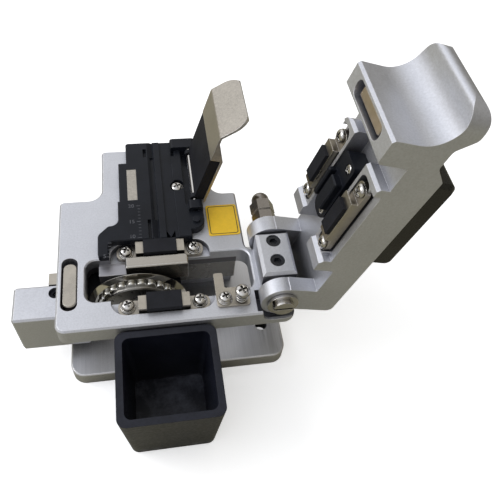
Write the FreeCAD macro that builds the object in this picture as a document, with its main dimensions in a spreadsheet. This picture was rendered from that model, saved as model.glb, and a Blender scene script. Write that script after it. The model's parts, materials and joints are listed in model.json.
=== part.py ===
import FreeCAD, Part
import math
import os
import Sketcher

# Fibre cleaver, shown open: the arm and the flip lever stand up, the slide is pulled out to the left.
# x points right towards the arm hinge, y points back along the fibre, z points up.
# x = 0 is the fibre line, y = 0 the plane of the blade, z = 0 the underside of the base.

os.makedirs("parts", exist_ok=True)
doc = FreeCAD.newDocument("FibreCleaver")

# Driving sizes in millimetres and degrees
sizes = {
    "plate_left": -24.0,
    "plate_right": 30.5,
    "plate_front": -12.8,
    "base_front": -13.0,
    "base_back": 22.5,
    "base_thick": 4.5,
    "base_corner": 3.5,
    "base_hole_x": 25.3,
    "base_hole_y": -3.7,
    "base_hole_radius": 1.6,
    "edge_break": 0.3,
    "piece_corner": 0.8,
    "overshoot": 1.0,
    "post_inset": 0.4,
    "deck_under": 22.0,
    "deck_thick": 5.0,
    "deck_corner": 2.2,
    "hinge_edge": 5.7,
    "label_edge": 20.7,
    "wing_round": 3.0,
    "wing_fillet": 1.8,
    "wing_back": 24.5,
    "tail_half": 13.6,
    "tail_back": 41.8,
    "tail_shift": 0.6,
    "tail_round": 1.2,
    "tail_fillet": 3.5,
    "deck_bevel": 0.45,
    "slot_left": -17.6,
    "slot_right": 21.3,
    "slot_half": 5.7,
    "slot_corner": 2.4,
    "seat_half": 11.9,
    "seat_reach": 9.9,
    "seat_clear": 0.5,
    "seat_depth": 2.0,
    "seat_corner": 3.6,
    "magnet_x": -21.1,
    "magnet_front": -7.5,
    "magnet_back": 6.8,
    "magnet_slot_width": 3.7,
    "slot_round": 0.47,
    "magnet_width": 3.3,
    "magnet_length": 11.8,
    "magnet_depth": 3.0,
    "magnet_below": 0.4,
    "hinge_x": 26.5,
    "hinge_up": 1.8,
    "block_half": 4.0,
    "block_front": -6.4,
    "block_back": 5.6,
    "block_up": 6.2,
    "block_chamfer": 0.7,
    "ear_radius": 4.95,
    "ear_pocket_left": 20.9,
    "ear_pocket_floor": 4.5,
    "ear_lip": 0.7,
    "ear_lip_drop": 3.3,
    "lip_start": 1.6,
    "lip_round": 2.0,
    "shaft_radius": 2.4,
    "shaft_fit": 0.05,
    "shaft_front": -13.2,
    "shaft_step": 10.2,
    "shaft_back": 17.0,
    "thread_radius": 2.0,
    "set_screw_front": -2.6,
    "set_screw_back": 3.0,
    "set_screw_radius": 1.75,
    "set_screw_sunk": 0.35,
    "set_socket": 1.0,
    "socket_depth": 0.8,
    "washer_radius": 3.6,
    "washer_thick": 0.75,
    "washer_gap": 0.1,
    "nut_washer_radius": 3.4,
    "nut_washer_thick": 1.2,
    "nut_flats": 5.3,
    "lock_height": 3.1,
    "nut_height": 3.6,
    "dome_length": 3.1,
    "dome_radius": 2.25,
    "dome_round": 0.9,
    "nut_bevel": 0.35,
    "arm_open": 105.5,
    "arm_front": -11.3,
    "arm_back": 10.1,
    "front_ear_inner": -7.75,
    "rear_ear_inner": 6.1,
    "arm_heel": 2.7,
    "arm_outer": 13.9,
    "arm_hollow": 6.5,
    "ear_flat": 5.1,
    "heel_round": 1.5,
    "hollow_round": 0.6,
    "arm_bevel": 0.6,
    "bar_near": 13.3,
    "bar_far": 16.4,
    "bar_face": 1.65,
    "rail_face": 2.4,
    "rail_end": 39.1,
    "gap_floor": 4.9,
    "tip_near": 45.0,
    "tip_far": 50.5,
    "tip_face": 1.55,
    "tip_bevel": 0.5,
    "hook_reach": 8.9,
    "hook_thick": 4.3,
    "hook_valley": 5.8,
    "hook_inner_round": 1.2,
    "hook_outer_round": 2.9,
    "hook_plan_round": 4.7,
    "notch_depth": 3.1,
    "notch_start": 1.2,
    "notch_round": 1.5,
    "tower_round": 3.0,
    "wall_level": 4.2,
    "wall_front": 9.4,
    "wall_near": 16.6,
    "wall_far": 37.2,
    "arm_slot_depth": 2.4,
    "arm_slot_width": 3.5,
    "arm_magnet_width": 3.0,
    "pocket_floor": 4.7,
    "pocket_far": 37.4,
    "pocket_inner": 5.0,
    "pocket_round": 1.6,
    "hole_depth": 3.0,
    "trench_half": 4.2,
    "cover_near": 16.3,
    "cover_far": 42.0,
    "cover_outer": 19.2,
    "cover_corner": 2.0,
    "cover_round": 0.8,
    "cover_front_inset": 0.5,
    "cover_back_inset": 0.3,
    "pad_top": 28.85,
    "pad_inner": 5.5,
    "pad_outer": 9.95,
    "pad_half": 3.95,
    "tab_half": 5.8,
    "pad_sink": 1.2,
    "pad_proud": 0.6,
    "foot_half": 10.4,
    "foot_thick": 1.2,
    "foot_inner": 5.9,
    "foot_corner": 1.4,
    "screw_x": 8.15,
    "screw_y": 7.5,
    "screw_head": 1.45,
    "screw_head_height": 1.2,
    "screw_shank": 0.8,
    "screw_end": 0.4,
    "ring_radius": 1.75,
    "ring_thick": 0.5,
    "pad_rest_gap": 0.3,
    "upper_head_face": 1.55,
    "upper_head_thick": 1.0,
    "upper_sink": 0.8,
    "upper_trim": 0.9,
    "hole_play": 0.35,
    "head_gap": 0.05,
    "upper_inner": 5.3,
    "upper_outer": 9.2,
    "clamp_left": -8.3,
    "clamp_right": 6.35,
    "clamp_front": 2.2,
    "clamp_back": 5.2,
    "clamp_top": 28.0,
    "clamp_bottom": 22.0,
    "clamp_break": 0.25,
    "side_left": -14.6,
    "side_front": 2.0,
    "side_back": 4.8,
    "side_top": 25.5,
    "wheel_x": -6.1,
    "wheel_z": 16.95,
    "blade_radius": 11.85,
    "blade_thick": 1.0,
    "bevel_width": 1.5,
    "bore_radius": 1.52,
    "axle_radius": 1.5,
    "ring_far": -1.65,
    "tooth_radius": 9.85,
    "tooth_depth": 0.95,
    "tooth_count": 24,
    "tooth_step": 0.15,
    "clamp_disc_radius": 8.9,
    "clamp_disc_front": -2.5,
    "blade_back": 0.2,
    "blade_tip": 0.03,
    "hub_radius": 3.2,
    "hub_gap": 0.2,
    "axle_deep": 4.0,
    "axle_head_thick": 1.0,
    "axle_head_radius": 2.6,
    "slit_half": 0.3,
    "slit_depth": 0.8,
    "carriage_front": 1.0,
    "carriage_grip": 1.6,
    "rail_run": 0.1,
    "thumb_left": -34.7,
    "thumb_right": -18.8,
    "thumb_front": -5.9,
    "thumb_back": 3.4,
    "thumb_bottom": 8.2,
    "thumb_top": 21.65,
    "thumb_bevel": 0.5,
    "thumb_screw_x": -25.2,
    "thumb_screw_y": 1.0,
    "thumb_screw_radius": 1.5,
    "thumb_screw_depth": 2.4,
    "slide_tab_width": 3.2,
    "slide_tab_rib": 2.0,
    "carriage_right": 4.5,
    "carriage_bottom": 8.4,
    "carriage_top": 19.8,
    "rail_front": 8.9,
    "rail_bottom": 10.0,
    "rail_top": 18.0,
    "support_left": -20.0,
    "support_right": 19.4,
    "support_front": 11.4,
    "support_back": 22.0,
    "post_left": 23.8,
    "post_front": -0.5,
    "adapter_top": 28.95,
    "adapter_back": 42.5,
    "adapter_right": 9.0,
    "adapter_step": 7.3,
    "ledge_drop": 1.15,
    "knuckle_right": 11.6,
    "adapter_left": -9.1,
    "adapter_front": 9.55,
    "adapter_front_right": 8.1,
    "adapter_lean": 2.6,
    "front_step": 11.6,
    "front_round": 2.8,
    "adapter_step_back": 35.1,
    "scale_back": 21.9,
    "scale_left": -9.55,
    "wing_start": 14.3,
    "wing_left": -14.5,
    "wing_front": 5.3,
    "adapter_leg": -12.0,
    "ledge_pocket": 5.0,
    "knuckle_front": 17.0,
    "knuckle_mid": 19.6,
    "knuckle_rear": 38.7,
    "knuckle_end": 42.0,
    "knuckle_width": 3.7,
    "knuckle_up": 1.25,
    "knuckle_low": 1.0,
    "groove_depth": 0.6,
    "groove_left": -1.65,
    "groove_right": 0.35,
    "groove_extra": 0.25,
    "groove_mid_front": 15.4,
    "groove_mid_back": 36.9,
    "cross_front": 36.8,
    "cross_back": 39.9,
    "trough_left": 1.85,
    "trough_right": 4.85,
    "trough_depth": 0.45,
    "trough_point": 2.0,
    "pocket_depth": 0.9,
    "stop_x": 9.5,
    "stop_y": 14.2,
    "stop_radius": 0.9,
    "stop_height": 1.6,
    "insert_left": -7.05,
    "insert_right": -4.6,
    "insert_front": 22.0,
    "insert_back": 32.6,
    "insert_thick": 1.0,
    "insert_below": 0.05,
    "adapter_screw_x": 5.7,
    "adapter_screw_y": 26.3,
    "adapter_screw_sunk": 1.1,
    "adapter_head_radius": 1.55,
    "adapter_head_thick": 0.9,
    "lever_x": 9.7,
    "lever_z": 29.3,
    "lever_lean": 15.7,
    "pin_radius": 0.6,
    "pin_front": 18.0,
    "pin_back": 41.0,
    "lever_front": 20.6,
    "lever_back": 37.9,
    "lever_inner": -0.25,
    "lever_pad_far": 14.2,
    "lever_pad_thick": 2.5,
    "lever_sleeve": 1.1,
    "pad_inset": 0.3,
    "sheet_thick": 0.6,
    "sheet_neck": 19.6,
    "sheet_foot": -0.8,
    "sheet_bend": 21.4,
    "bend_shift": 0.2,
    "tab_length": 7.6,
    "pin_show": 0.45,
    "lobe_width": 1.2,
    "tab_turn": 42.0,
    "tab_round": 3.2,
    "bin_left": -11.5,
    "bin_right": 11.0,
    "bin_back": -13.3,
    "bin_front": -34.8,
    "bin_top": 25.5,
    "bin_bottom": 0.5,
    "bin_wall": 1.6,
    "bin_side_taper": 1.2,
    "bin_front_taper": 2.6,
    "bin_corner": 2.0,
    "bin_inner_corner": 1.5,
    "bracket_left": 11.8,
    "bracket_right": 19.5,
    "bracket_front": -10.3,
    "bracket_back": -5.4,
    "bracket_tab_back": -1.2,
    "bracket_tab_right": 14.0,
    "bracket_thick": 0.6,
    "bracket_screw_x": 13.8,
    "bracket_screw_y": -8.4,
    "spring_x": 17.6,
    "spring_y": -8.6,
    "spring_height": 2.8,
    "spring_radius": 1.2,
    "wire_radius": 0.22,
    "spring_pitch": 0.62,
    "label_left": 12.3,
    "label_right": 20.2,
    "label_corner": 0.6,
    "label_front": 10.3,
    "label_back": 20.1,
    "label_thick": 0.15,
    "anvil_near": 19.0,
    "anvil_far": 35.0,
    "anvil_front": -2.65,
    "anvil_back": 3.4,
    "anvil_base": 2.4,
    "anvil_face": 0.75,
    "anvil_bar_near": 22.3,
    "anvil_bar_far": 30.0,
    "anvil_bar_front": -2.2,
    "anvil_bar_back": 1.1,
    "anvil_ridge_front": 2.2,
    "anvil_screw_radius": 1.1,
    "anvil_screw_rise": 0.6,
    "anvil_screw_sunk": 0.5,
    "anvil_screw_in": 1.8,
    "anvil_top_round": 0.8,
    "anvil_end_round": 2.4,
    "thread_small": 0.5,
}
sheet = doc.addObject("Spreadsheet::Sheet", "Sizes")
for row, (name, number) in enumerate(sizes.items(), start=1):
    sheet.set("A%d" % row, name)
    sheet.set("B%d" % row, str(number))
    sheet.setAlias("B%d" % row, name)
doc.recompute()


class Size:
    # A number together with the spreadsheet expression it came from

    def __init__(self, number, text):
        self.number = float(number)
        self.text = text

    def join(self, other, sign, number):
        return Size(number, "(%s %s %s)" % (self.text, sign, other.text))

    def __add__(self, other):
        other = sized(other)
        return self.join(other, "+", self.number + other.number)

    def __sub__(self, other):
        other = sized(other)
        return self.join(other, "-", self.number - other.number)

    def __mul__(self, other):
        other = sized(other)
        return self.join(other, "*", self.number * other.number)

    def __truediv__(self, other):
        other = sized(other)
        return self.join(other, "/", self.number / other.number)

    def __radd__(self, other):
        return sized(other) + self

    def __rsub__(self, other):
        return sized(other) - self

    def __rmul__(self, other):
        return sized(other) * self

    def __neg__(self):
        return Size(-self.number, "(0 - %s)" % self.text)


def sized(thing):
    if isinstance(thing, Size):
        return thing
    return Size(thing, "%.6f" % thing)


class Table:
    # The driving sizes by name

    def __init__(self, values):
        for key, value in values.items():
            setattr(self, key, Size(value, "Sizes." + key))


d = Table(sizes)
deck_top = d.deck_under + d.deck_thick
hinge_z = deck_top + d.hinge_up
pieces = []
slack = 0.01


def bind(thing, place, size):
    thing.setExpression(place, sized(size).text)


def place(thing, x, y, z):
    thing.Placement.Base = FreeCAD.Vector(sized(x).number, sized(y).number, sized(z).number)
    bind(thing, "Placement.Base.x", x)
    bind(thing, "Placement.Base.y", y)
    bind(thing, "Placement.Base.z", z)


def finish(thing, label):
    thing.Label = label
    pieces.append(thing)
    return thing


def on_arm(thing):
    # The arm pieces are drawn closed around the hinge axis and swung open from there
    spot = FreeCAD.Vector(d.hinge_x.number, 0, hinge_z.number)
    turn = FreeCAD.Rotation(FreeCAD.Vector(0, 1, 0), d.arm_open.number)
    thing.Placement = FreeCAD.Placement(spot, turn)
    bind(thing, "Placement.Base.x", d.hinge_x)
    bind(thing, "Placement.Base.z", hinge_z)
    bind(thing, "Placement.Rotation.Angle", d.arm_open)
    return thing


def on_lever(thing):
    # The lever pieces are drawn standing straight up over the pin and leaned to the right
    spot = FreeCAD.Vector(d.lever_x.number, 0, d.lever_z.number)
    turn = FreeCAD.Rotation(FreeCAD.Vector(0, 1, 0), d.lever_lean.number)
    thing.Placement = FreeCAD.Placement(spot, turn)
    bind(thing, "Placement.Base.x", d.lever_x)
    bind(thing, "Placement.Base.z", d.lever_z)
    bind(thing, "Placement.Rotation.Angle", d.lever_lean)
    return thing


def new_body(name):
    return doc.addObject("PartDesign::Body", name)


def plane_of(body, role):
    for item in body.Origin.OriginFeatures:
        if item.Role == role:
            return item
    return None


def new_sketch(body, role, height):
    sketch = body.newObject("Sketcher::SketchObject", body.Name + "_sketch")
    sketch.AttachmentSupport = [(plane_of(body, role), "")]
    sketch.MapMode = "FlatFace"
    sketch.AttachmentOffset = FreeCAD.Placement(
        FreeCAD.Vector(0, 0, sized(height).number), FreeCAD.Rotation())
    bind(sketch, "AttachmentOffset.Base.z", height)
    return sketch


def pin_point(sketch, geometry, end, x, y):
    # Hold one point of a sketch at a distance from the origin along both axes
    for kind, size, axis in (("DistanceX", sized(x), -2), ("DistanceY", sized(y), -1)):
        if abs(size.number) < 1e-9:
            sketch.addConstraint(Sketcher.Constraint("PointOnObject", geometry, end, axis))
        else:
            rule = Sketcher.Constraint(kind, -1, 1, geometry, end, size.number)
            index = sketch.addConstraint(rule)
            bind(sketch, "Constraints[%d]" % index, size)


def outline(sketch, corners):
    # A closed outline of straight sides; a third value in a corner rounds it
    count = len(corners)
    spots = [FreeCAD.Vector(sized(c[0]).number, sized(c[1]).number, 0) for c in corners]
    rounds = [sized(c[2]) if len(c) > 2 else None for c in corners]
    entry = []
    leave = []
    centre = []
    for i in range(count):
        before = (spots[i - 1] - spots[i]).normalize()
        after = (spots[(i + 1) % count] - spots[i]).normalize()
        if rounds[i] is None:
            entry.append(spots[i])
            leave.append(spots[i])
            centre.append(None)
            continue
        half = before.getAngle(after) / 2
        back = rounds[i].number / math.tan(half)
        entry.append(spots[i] + before * back)
        leave.append(spots[i] + after * back)
        middle = (before + after).normalize()
        centre.append(spots[i] + middle * (rounds[i].number / math.sin(half)))
    up = FreeCAD.Vector(0, 0, 1)
    lines = []
    for i in range(count):
        side = Part.LineSegment(leave[i], entry[(i + 1) % count])
        lines.append(sketch.addGeometry(side, False))
    for i in range(count):
        if rounds[i] is None:
            sketch.addConstraint(Sketcher.Constraint("Coincident", lines[i - 1], 2, lines[i], 1))
            pin_point(sketch, lines[i], 1, corners[i][0], corners[i][1])
            continue
        turn = (entry[i] - leave[i - 1]).cross(entry[(i + 1) % count] - leave[i]).z
        circle = Part.Circle(centre[i], up, rounds[i].number)
        first = math.atan2(entry[i].y - centre[i].y, entry[i].x - centre[i].x)
        last = math.atan2(leave[i].y - centre[i].y, leave[i].x - centre[i].x)
        if turn > 0:
            arc = sketch.addGeometry(Part.ArcOfCircle(circle, first, last), False)
            ends = (1, 2)
        else:
            arc = sketch.addGeometry(Part.ArcOfCircle(circle, last, first), False)
            ends = (2, 1)
        sketch.addConstraint(Sketcher.Constraint("Tangent", lines[i - 1], 2, arc, ends[0]))
        sketch.addConstraint(Sketcher.Constraint("Tangent", lines[i], 1, arc, ends[1]))
        index = sketch.addConstraint(Sketcher.Constraint("Radius", arc, rounds[i].number))
        bind(sketch, "Constraints[%d]" % index, rounds[i])
        corner = sketch.addGeometry(Part.Point(spots[i]), True)
        sketch.addConstraint(Sketcher.Constraint("PointOnObject", corner, 1, lines[i - 1]))
        sketch.addConstraint(Sketcher.Constraint("PointOnObject", corner, 1, lines[i]))
        pin_point(sketch, corner, 1, corners[i][0], corners[i][1])


def ring(sketch, x, y, radius):
    radius = sized(radius)
    spot = FreeCAD.Vector(sized(x).number, sized(y).number, 0)
    circle = Part.Circle(spot, FreeCAD.Vector(0, 0, 1), radius.number)
    index = sketch.addGeometry(circle, False)
    pin_point(sketch, index, 3, x, y)
    rule = sketch.addConstraint(Sketcher.Constraint("Radius", index, radius.number))
    bind(sketch, "Constraints[%d]" % rule, radius)


def rectangle(x0, x1, y0, y1, radius=None):
    spots = [(x0, y0), (x1, y0), (x1, y1), (x0, y1)]
    if radius is None:
        return spots
    return [spot + (radius,) for spot in spots]


def draw(sketch, shape):
    # A shape is a list of corners, or a circle given as (x, y, radius)
    if isinstance(shape, tuple):
        ring(sketch, shape[0], shape[1], shape[2])
    else:
        outline(sketch, shape)


def add(body, role, low, high, shapes):
    # Material between two heights along the normal of a base plane
    low = sized(low)
    high = sized(high)
    start = -high if role == "XZ_Plane" else low
    sketch = new_sketch(body, role, start)
    for shape in shapes:
        draw(sketch, shape)
    doc.recompute()
    feature = body.newObject("PartDesign::Pad", body.Name + "_pad")
    feature.Profile = sketch
    feature.Length = high.number - low.number
    bind(feature, "Length", high - low)
    doc.recompute()
    return feature


def cut(body, role, low, high, shapes):
    # A cut between two heights; the volume is compared so that a miss does not go unseen
    low = sized(low)
    high = sized(high)
    start = -low if role == "XZ_Plane" else high
    volume = body.Shape.Volume
    sketch = new_sketch(body, role, start)
    for shape in shapes:
        draw(sketch, shape)
    doc.recompute()
    feature = body.newObject("PartDesign::Pocket", body.Name + "_cut")
    feature.Profile = sketch
    feature.Length = high.number - low.number
    bind(feature, "Length", high - low)
    doc.recompute()
    if volume - body.Shape.Volume < 1e-4:
        raise RuntimeError("a cut in %s removed nothing" % body.Name)
    return feature


def spin(body, height, shape, low, high, level):
    # Material turned around a level line that runs along y
    sketch = new_sketch(body, "YZ_Plane", height)
    draw(sketch, shape)
    ends = [FreeCAD.Vector(sized(y).number, sized(level).number, 0) for y in (low, high)]
    line = sketch.addGeometry(Part.LineSegment(ends[0], ends[1]), True)
    pin_point(sketch, line, 1, low, level)
    pin_point(sketch, line, 2, high, level)
    doc.recompute()
    feature = body.newObject("PartDesign::Revolution", body.Name + "_turned")
    feature.Profile = sketch
    feature.ReferenceAxis = (sketch, ["Axis0"])
    feature.Angle = 360.0
    doc.recompute()
    return feature


def edges_where(shape, test):
    return ["Edge%d" % (i + 1) for i, edge in enumerate(shape.Edges) if test(edge)]


def flat_at(axis, height, slack=1e-4):
    # Picks edges that lie wholly in one level, x, y or z
    def test(edge):
        spots = [edge.valueAt(t) for t in (edge.FirstParameter, edge.LastParameter)]
        spots.append(edge.valueAt((edge.FirstParameter + edge.LastParameter) / 2))
        return all(abs(getattr(spot, axis) - sized(height).number) < slack for spot in spots)
    return test


def dress(body, kind, size, names):
    base = body.Tip
    feature = body.newObject("PartDesign::" + kind, body.Name + "_" + kind.lower())
    feature.Base = (base, names)
    place_name = "Size" if kind == "Chamfer" else "Radius"
    setattr(feature, place_name, sized(size).number)
    bind(feature, place_name, size)
    doc.recompute()
    if "Invalid" in feature.State or body.Shape.isNull() or not body.Shape.isValid():
        raise RuntimeError("the edges of %s could not be dressed" % body.Name)
    return feature


def box(name, x0, x1, y0, y1, z0, z1):
    thing = doc.addObject("Part::Box", name)
    spans = (("Length", x0, x1), ("Width", y0, y1), ("Height", z0, z1))
    for side, low, high in spans:
        span = sized(high) - sized(low)
        setattr(thing, side, span.number)
        bind(thing, side, span)
    place(thing, x0, y0, z0)
    return thing


def rod(name, axis, x, y, z, radius, length):
    # A cylinder starting at a point and running along one axis
    thing = doc.addObject("Part::Cylinder", name)
    thing.Radius = sized(radius).number
    thing.Height = sized(length).number
    bind(thing, "Radius", radius)
    bind(thing, "Height", length)
    turns = {"x": FreeCAD.Vector(0, 1, 0), "y": FreeCAD.Vector(-1, 0, 0)}
    if axis in turns:
        thing.Placement.Rotation = FreeCAD.Rotation(turns[axis], 90)
    place(thing, x, y, z)
    return thing


def prism_peg(name, x, y, z, radius, height, sides=6):
    # A peg with flat sides standing on a point
    thing = doc.addObject("Part::Prism", name)
    thing.Polygon = sides
    thing.Circumradius = sized(radius).number
    thing.Height = sized(height).number
    bind(thing, "Circumradius", radius)
    bind(thing, "Height", height)
    place(thing, x, y, z)
    return thing


def fuse(name, things):
    whole = doc.addObject("Part::MultiFuse", name)
    whole.Shapes = things
    return whole


def less(name, base, tool):
    rest = doc.addObject("Part::Cut", name)
    rest.Base = base
    rest.Tool = tool
    return rest


def group(name, things):
    whole = doc.addObject("Part::Compound", name)
    whole.Links = things
    return whole


# Base: the flat foot of the whole tool
body = new_body("base_plate")
add(body, "XY_Plane", 0, d.base_thick, [
    rectangle(d.plate_left, d.plate_right, d.base_front, d.base_back, d.base_corner)])
dress(body, "Chamfer", d.edge_break, edges_where(body.Shape, flat_at("z", d.base_thick)))
cut(body, "XY_Plane", 0, d.base_thick, [(d.base_hole_x, d.base_hole_y, d.base_hole_radius)])
finish(body, "base_plate")

# Blocks that carry the deck above the base
body = new_body("support_block")
add(body, "XY_Plane", d.base_thick, d.deck_under, [
    rectangle(d.support_left, d.support_right, d.support_front, d.support_back, d.piece_corner)])
finish(body, "support_block")

body = new_body("hinge_post")
add(body, "XY_Plane", d.base_thick, d.deck_under, [
    rectangle(d.post_left, d.plate_right - d.post_inset, d.post_front,
              d.hinge_edge - d.post_inset, d.piece_corner)])
finish(body, "hinge_post")

# Deck: the silver plate with the long slot, the seats of the pads and the hinge block
body = new_body("body_deck")
tail_right = d.tail_half + d.tail_shift
add(body, "XY_Plane", d.deck_under, deck_top, [[
    (d.plate_left, d.plate_front, d.deck_corner),
    (d.plate_right, d.plate_front, d.wing_round),
    (d.plate_right, d.hinge_edge, d.piece_corner),
    (d.label_edge, d.hinge_edge, d.wing_fillet),
    (d.label_edge, d.wing_back, d.piece_corner),
    (tail_right, d.wing_back, d.tail_fillet),
    (tail_right, d.tail_back, d.tail_round),
    (-d.tail_half, d.tail_back, d.tail_round),
    (-d.tail_half, d.wing_back, d.tail_fillet),
    (d.plate_left, d.wing_back, d.tail_round),
]])
dress(body, "Chamfer", d.deck_bevel, edges_where(body.Shape, flat_at("z", deck_top)))
cut(body, "XY_Plane", d.deck_under, deck_top, [
    rectangle(d.slot_left, d.slot_right, -d.slot_half, d.slot_half, d.slot_corner)])


def slot_rim(edge):
    middle = edge.valueAt((edge.FirstParameter + edge.LastParameter) / 2)
    inside = abs(middle.y) < d.slot_half.number + slack
    inside = inside and d.slot_left.number - slack < middle.x < d.slot_right.number + slack
    return inside and flat_at("z", deck_top)(edge)


dress(body, "Chamfer", d.edge_break, edges_where(body.Shape, slot_rim))
cut(body, "XY_Plane", deck_top - d.seat_depth, deck_top, [
    rectangle(-d.seat_half, d.seat_half, -d.seat_reach, d.seat_reach, d.seat_corner)])
magnet_left = d.magnet_x - d.magnet_slot_width / 2
magnet_right = d.magnet_x + d.magnet_slot_width / 2
cut(body, "XY_Plane", deck_top - d.magnet_depth, deck_top, [
    rectangle(magnet_left, magnet_right, d.magnet_front, d.magnet_back,
              d.magnet_slot_width * d.slot_round)])
block_top = deck_top + d.block_up
add(body, "XY_Plane", deck_top - d.ear_lip, block_top, [
    rectangle(d.hinge_x - d.block_half, d.plate_right, d.block_front, d.block_back)])
dress(body, "Chamfer", d.block_chamfer, edges_where(body.Shape, flat_at("z", block_top)))
cut(body, "XY_Plane", deck_top - d.ear_pocket_floor, deck_top, [
    rectangle(d.ear_pocket_left, d.plate_right + d.overshoot, d.plate_front + d.ear_lip,
              d.block_front)])
cut(body, "XZ_Plane", d.plate_front - d.overshoot, d.plate_front + d.ear_lip, [[
    (d.ear_pocket_left + d.lip_start, deck_top - d.ear_lip_drop, d.lip_round),
    (d.plate_right + d.overshoot, deck_top - d.ear_lip_drop),
    (d.plate_right + d.overshoot, deck_top + d.overshoot),
    (d.ear_pocket_left + d.overshoot, deck_top + d.overshoot),
]])
cut(body, "XZ_Plane", d.block_front, d.block_back, [(d.hinge_x, hinge_z, d.shaft_radius)])
cut(body, "XY_Plane", hinge_z, block_top, [
    (d.hinge_x, d.set_screw_front, d.set_screw_radius),
    (d.hinge_x, d.set_screw_back, d.set_screw_radius)])
screw_spots = []
for side in (-1, 1):
    for end in (-1, 1):
        screw_spots.append((d.screw_x * side, d.screw_y * end))
seat_floor = deck_top - d.seat_depth
cut(body, "XY_Plane", d.deck_under, seat_floor, [
    (x, y, d.screw_shank) for x, y in screw_spots])
cut(body, "XY_Plane", d.deck_under, deck_top, [
    (d.bracket_screw_x, d.bracket_screw_y, d.screw_shank),
    (d.spring_x, d.spring_y, d.screw_shank),
    (d.adapter_screw_x, d.adapter_screw_y, d.screw_shank)])
finish(body, "body_deck")

# Magnet let into the left end of the deck
magnet_middle = (d.magnet_front + d.magnet_back) / 2
magnet_reach = d.magnet_length / 2
magnet_top = deck_top - d.magnet_below
body = new_body("deck_magnet")
add(body, "XY_Plane", deck_top - d.magnet_depth, magnet_top, [
    rectangle(d.magnet_x - d.magnet_width / 2, d.magnet_x + d.magnet_width / 2,
              magnet_middle - magnet_reach, magnet_middle + magnet_reach,
              d.magnet_width * d.slot_round)])
dress(body, "Chamfer", d.clamp_break, edges_where(body.Shape, flat_at("z", magnet_top)))
finish(body, "deck_magnet")

# Hinge shaft with its two set screws, washers, lock nut and dome nut
front_part = rod("shaft_front_part", "y", d.hinge_x, d.shaft_front, hinge_z,
                 d.shaft_radius, d.shaft_step - d.shaft_front)
back_part = rod("shaft_back_part", "y", d.hinge_x, d.shaft_step, hinge_z,
                d.thread_radius, d.shaft_back - d.shaft_step)
slit = box("shaft_slit", d.hinge_x - d.washer_radius, d.hinge_x + d.washer_radius,
           d.shaft_front - d.overshoot, d.shaft_front + d.slit_depth,
           hinge_z - d.slit_half, hinge_z + d.slit_half)
shaft = less("hinge_shaft", fuse("shaft_whole", [front_part, back_part]), slit)
finish(shaft, "hinge_shaft")

screws = []
for i, y in enumerate((d.set_screw_front, d.set_screw_back)):
    low = hinge_z + d.shaft_radius
    high = block_top - d.set_screw_sunk
    peg = rod("set_screw_%d" % i, "z", d.hinge_x, y, low, d.set_screw_radius, high - low)
    socket = prism_peg("set_socket_%d" % i, d.hinge_x, y, high - d.socket_depth, d.set_socket,
                     d.socket_depth + d.overshoot)
    screws.append(less("set_screw_cut_%d" % i, peg, socket))
finish(group("hinge_set_screws", screws), "hinge_set_screws")


def washer(name, axis, x, y, z, inner, outer, thick):
    disc = rod(name + "_disc", axis, x, y, z, outer, thick)
    hole = rod(name + "_hole", axis, x, y, z, inner, thick)
    return less(name, disc, hole)


front_washer_y = d.arm_front - d.washer_gap - d.washer_thick
finish(washer("front_washer", "y", d.hinge_x, front_washer_y, hinge_z, d.shaft_radius,
              d.washer_radius, d.washer_thick), "front_washer")
finish(washer("nut_washer", "y", d.hinge_x, d.shaft_step, hinge_z, d.thread_radius,
              d.nut_washer_radius, d.nut_washer_thick), "nut_washer")

hexagon = []
across = d.nut_flats / math.sqrt(3)
for i in range(6):
    angle = math.radians(60 * i)
    hexagon.append((d.hinge_x + across * math.cos(angle), hinge_z + across * math.sin(angle)))


def hex_nut(name, low, high):
    # A six-sided nut on the shaft with broken edges at both ends
    nut = new_body(name)
    add(nut, "XZ_Plane", low, high, [hexagon])
    dress(nut, "Chamfer", d.nut_bevel, edges_where(
        nut.Shape, lambda e: flat_at("y", low)(e) or flat_at("y", high)(e)))
    return nut


lock_y = d.shaft_step + d.nut_washer_thick
nut_y = lock_y + d.lock_height
body = hex_nut("lock_nut", lock_y, nut_y)
cut(body, "XZ_Plane", lock_y, nut_y, [(d.hinge_x, hinge_z, d.thread_radius)])
finish(body, "lock_nut")

crown = nut_y + d.nut_height
dome_end = crown + d.dome_length
body = hex_nut("dome_nut", nut_y, crown)
spin(body, d.hinge_x, [
    (crown - d.nut_bevel, hinge_z), (dome_end, hinge_z),
    (dome_end, hinge_z + d.dome_radius, d.dome_radius * d.dome_round),
    (crown - d.nut_bevel, hinge_z + d.dome_radius)], nut_y, dome_end + d.overshoot, hinge_z)
cut(body, "XZ_Plane", nut_y, d.shaft_back, [(d.hinge_x, hinge_z, d.thread_radius)])
finish(body, "dome_nut")

# Arm: drawn closed, with u along the arm and w away from the deck
heel = -d.arm_heel


def arm_shape(points):
    return [(-sized(p[0]),) + tuple(p[1:]) for p in points]


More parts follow.
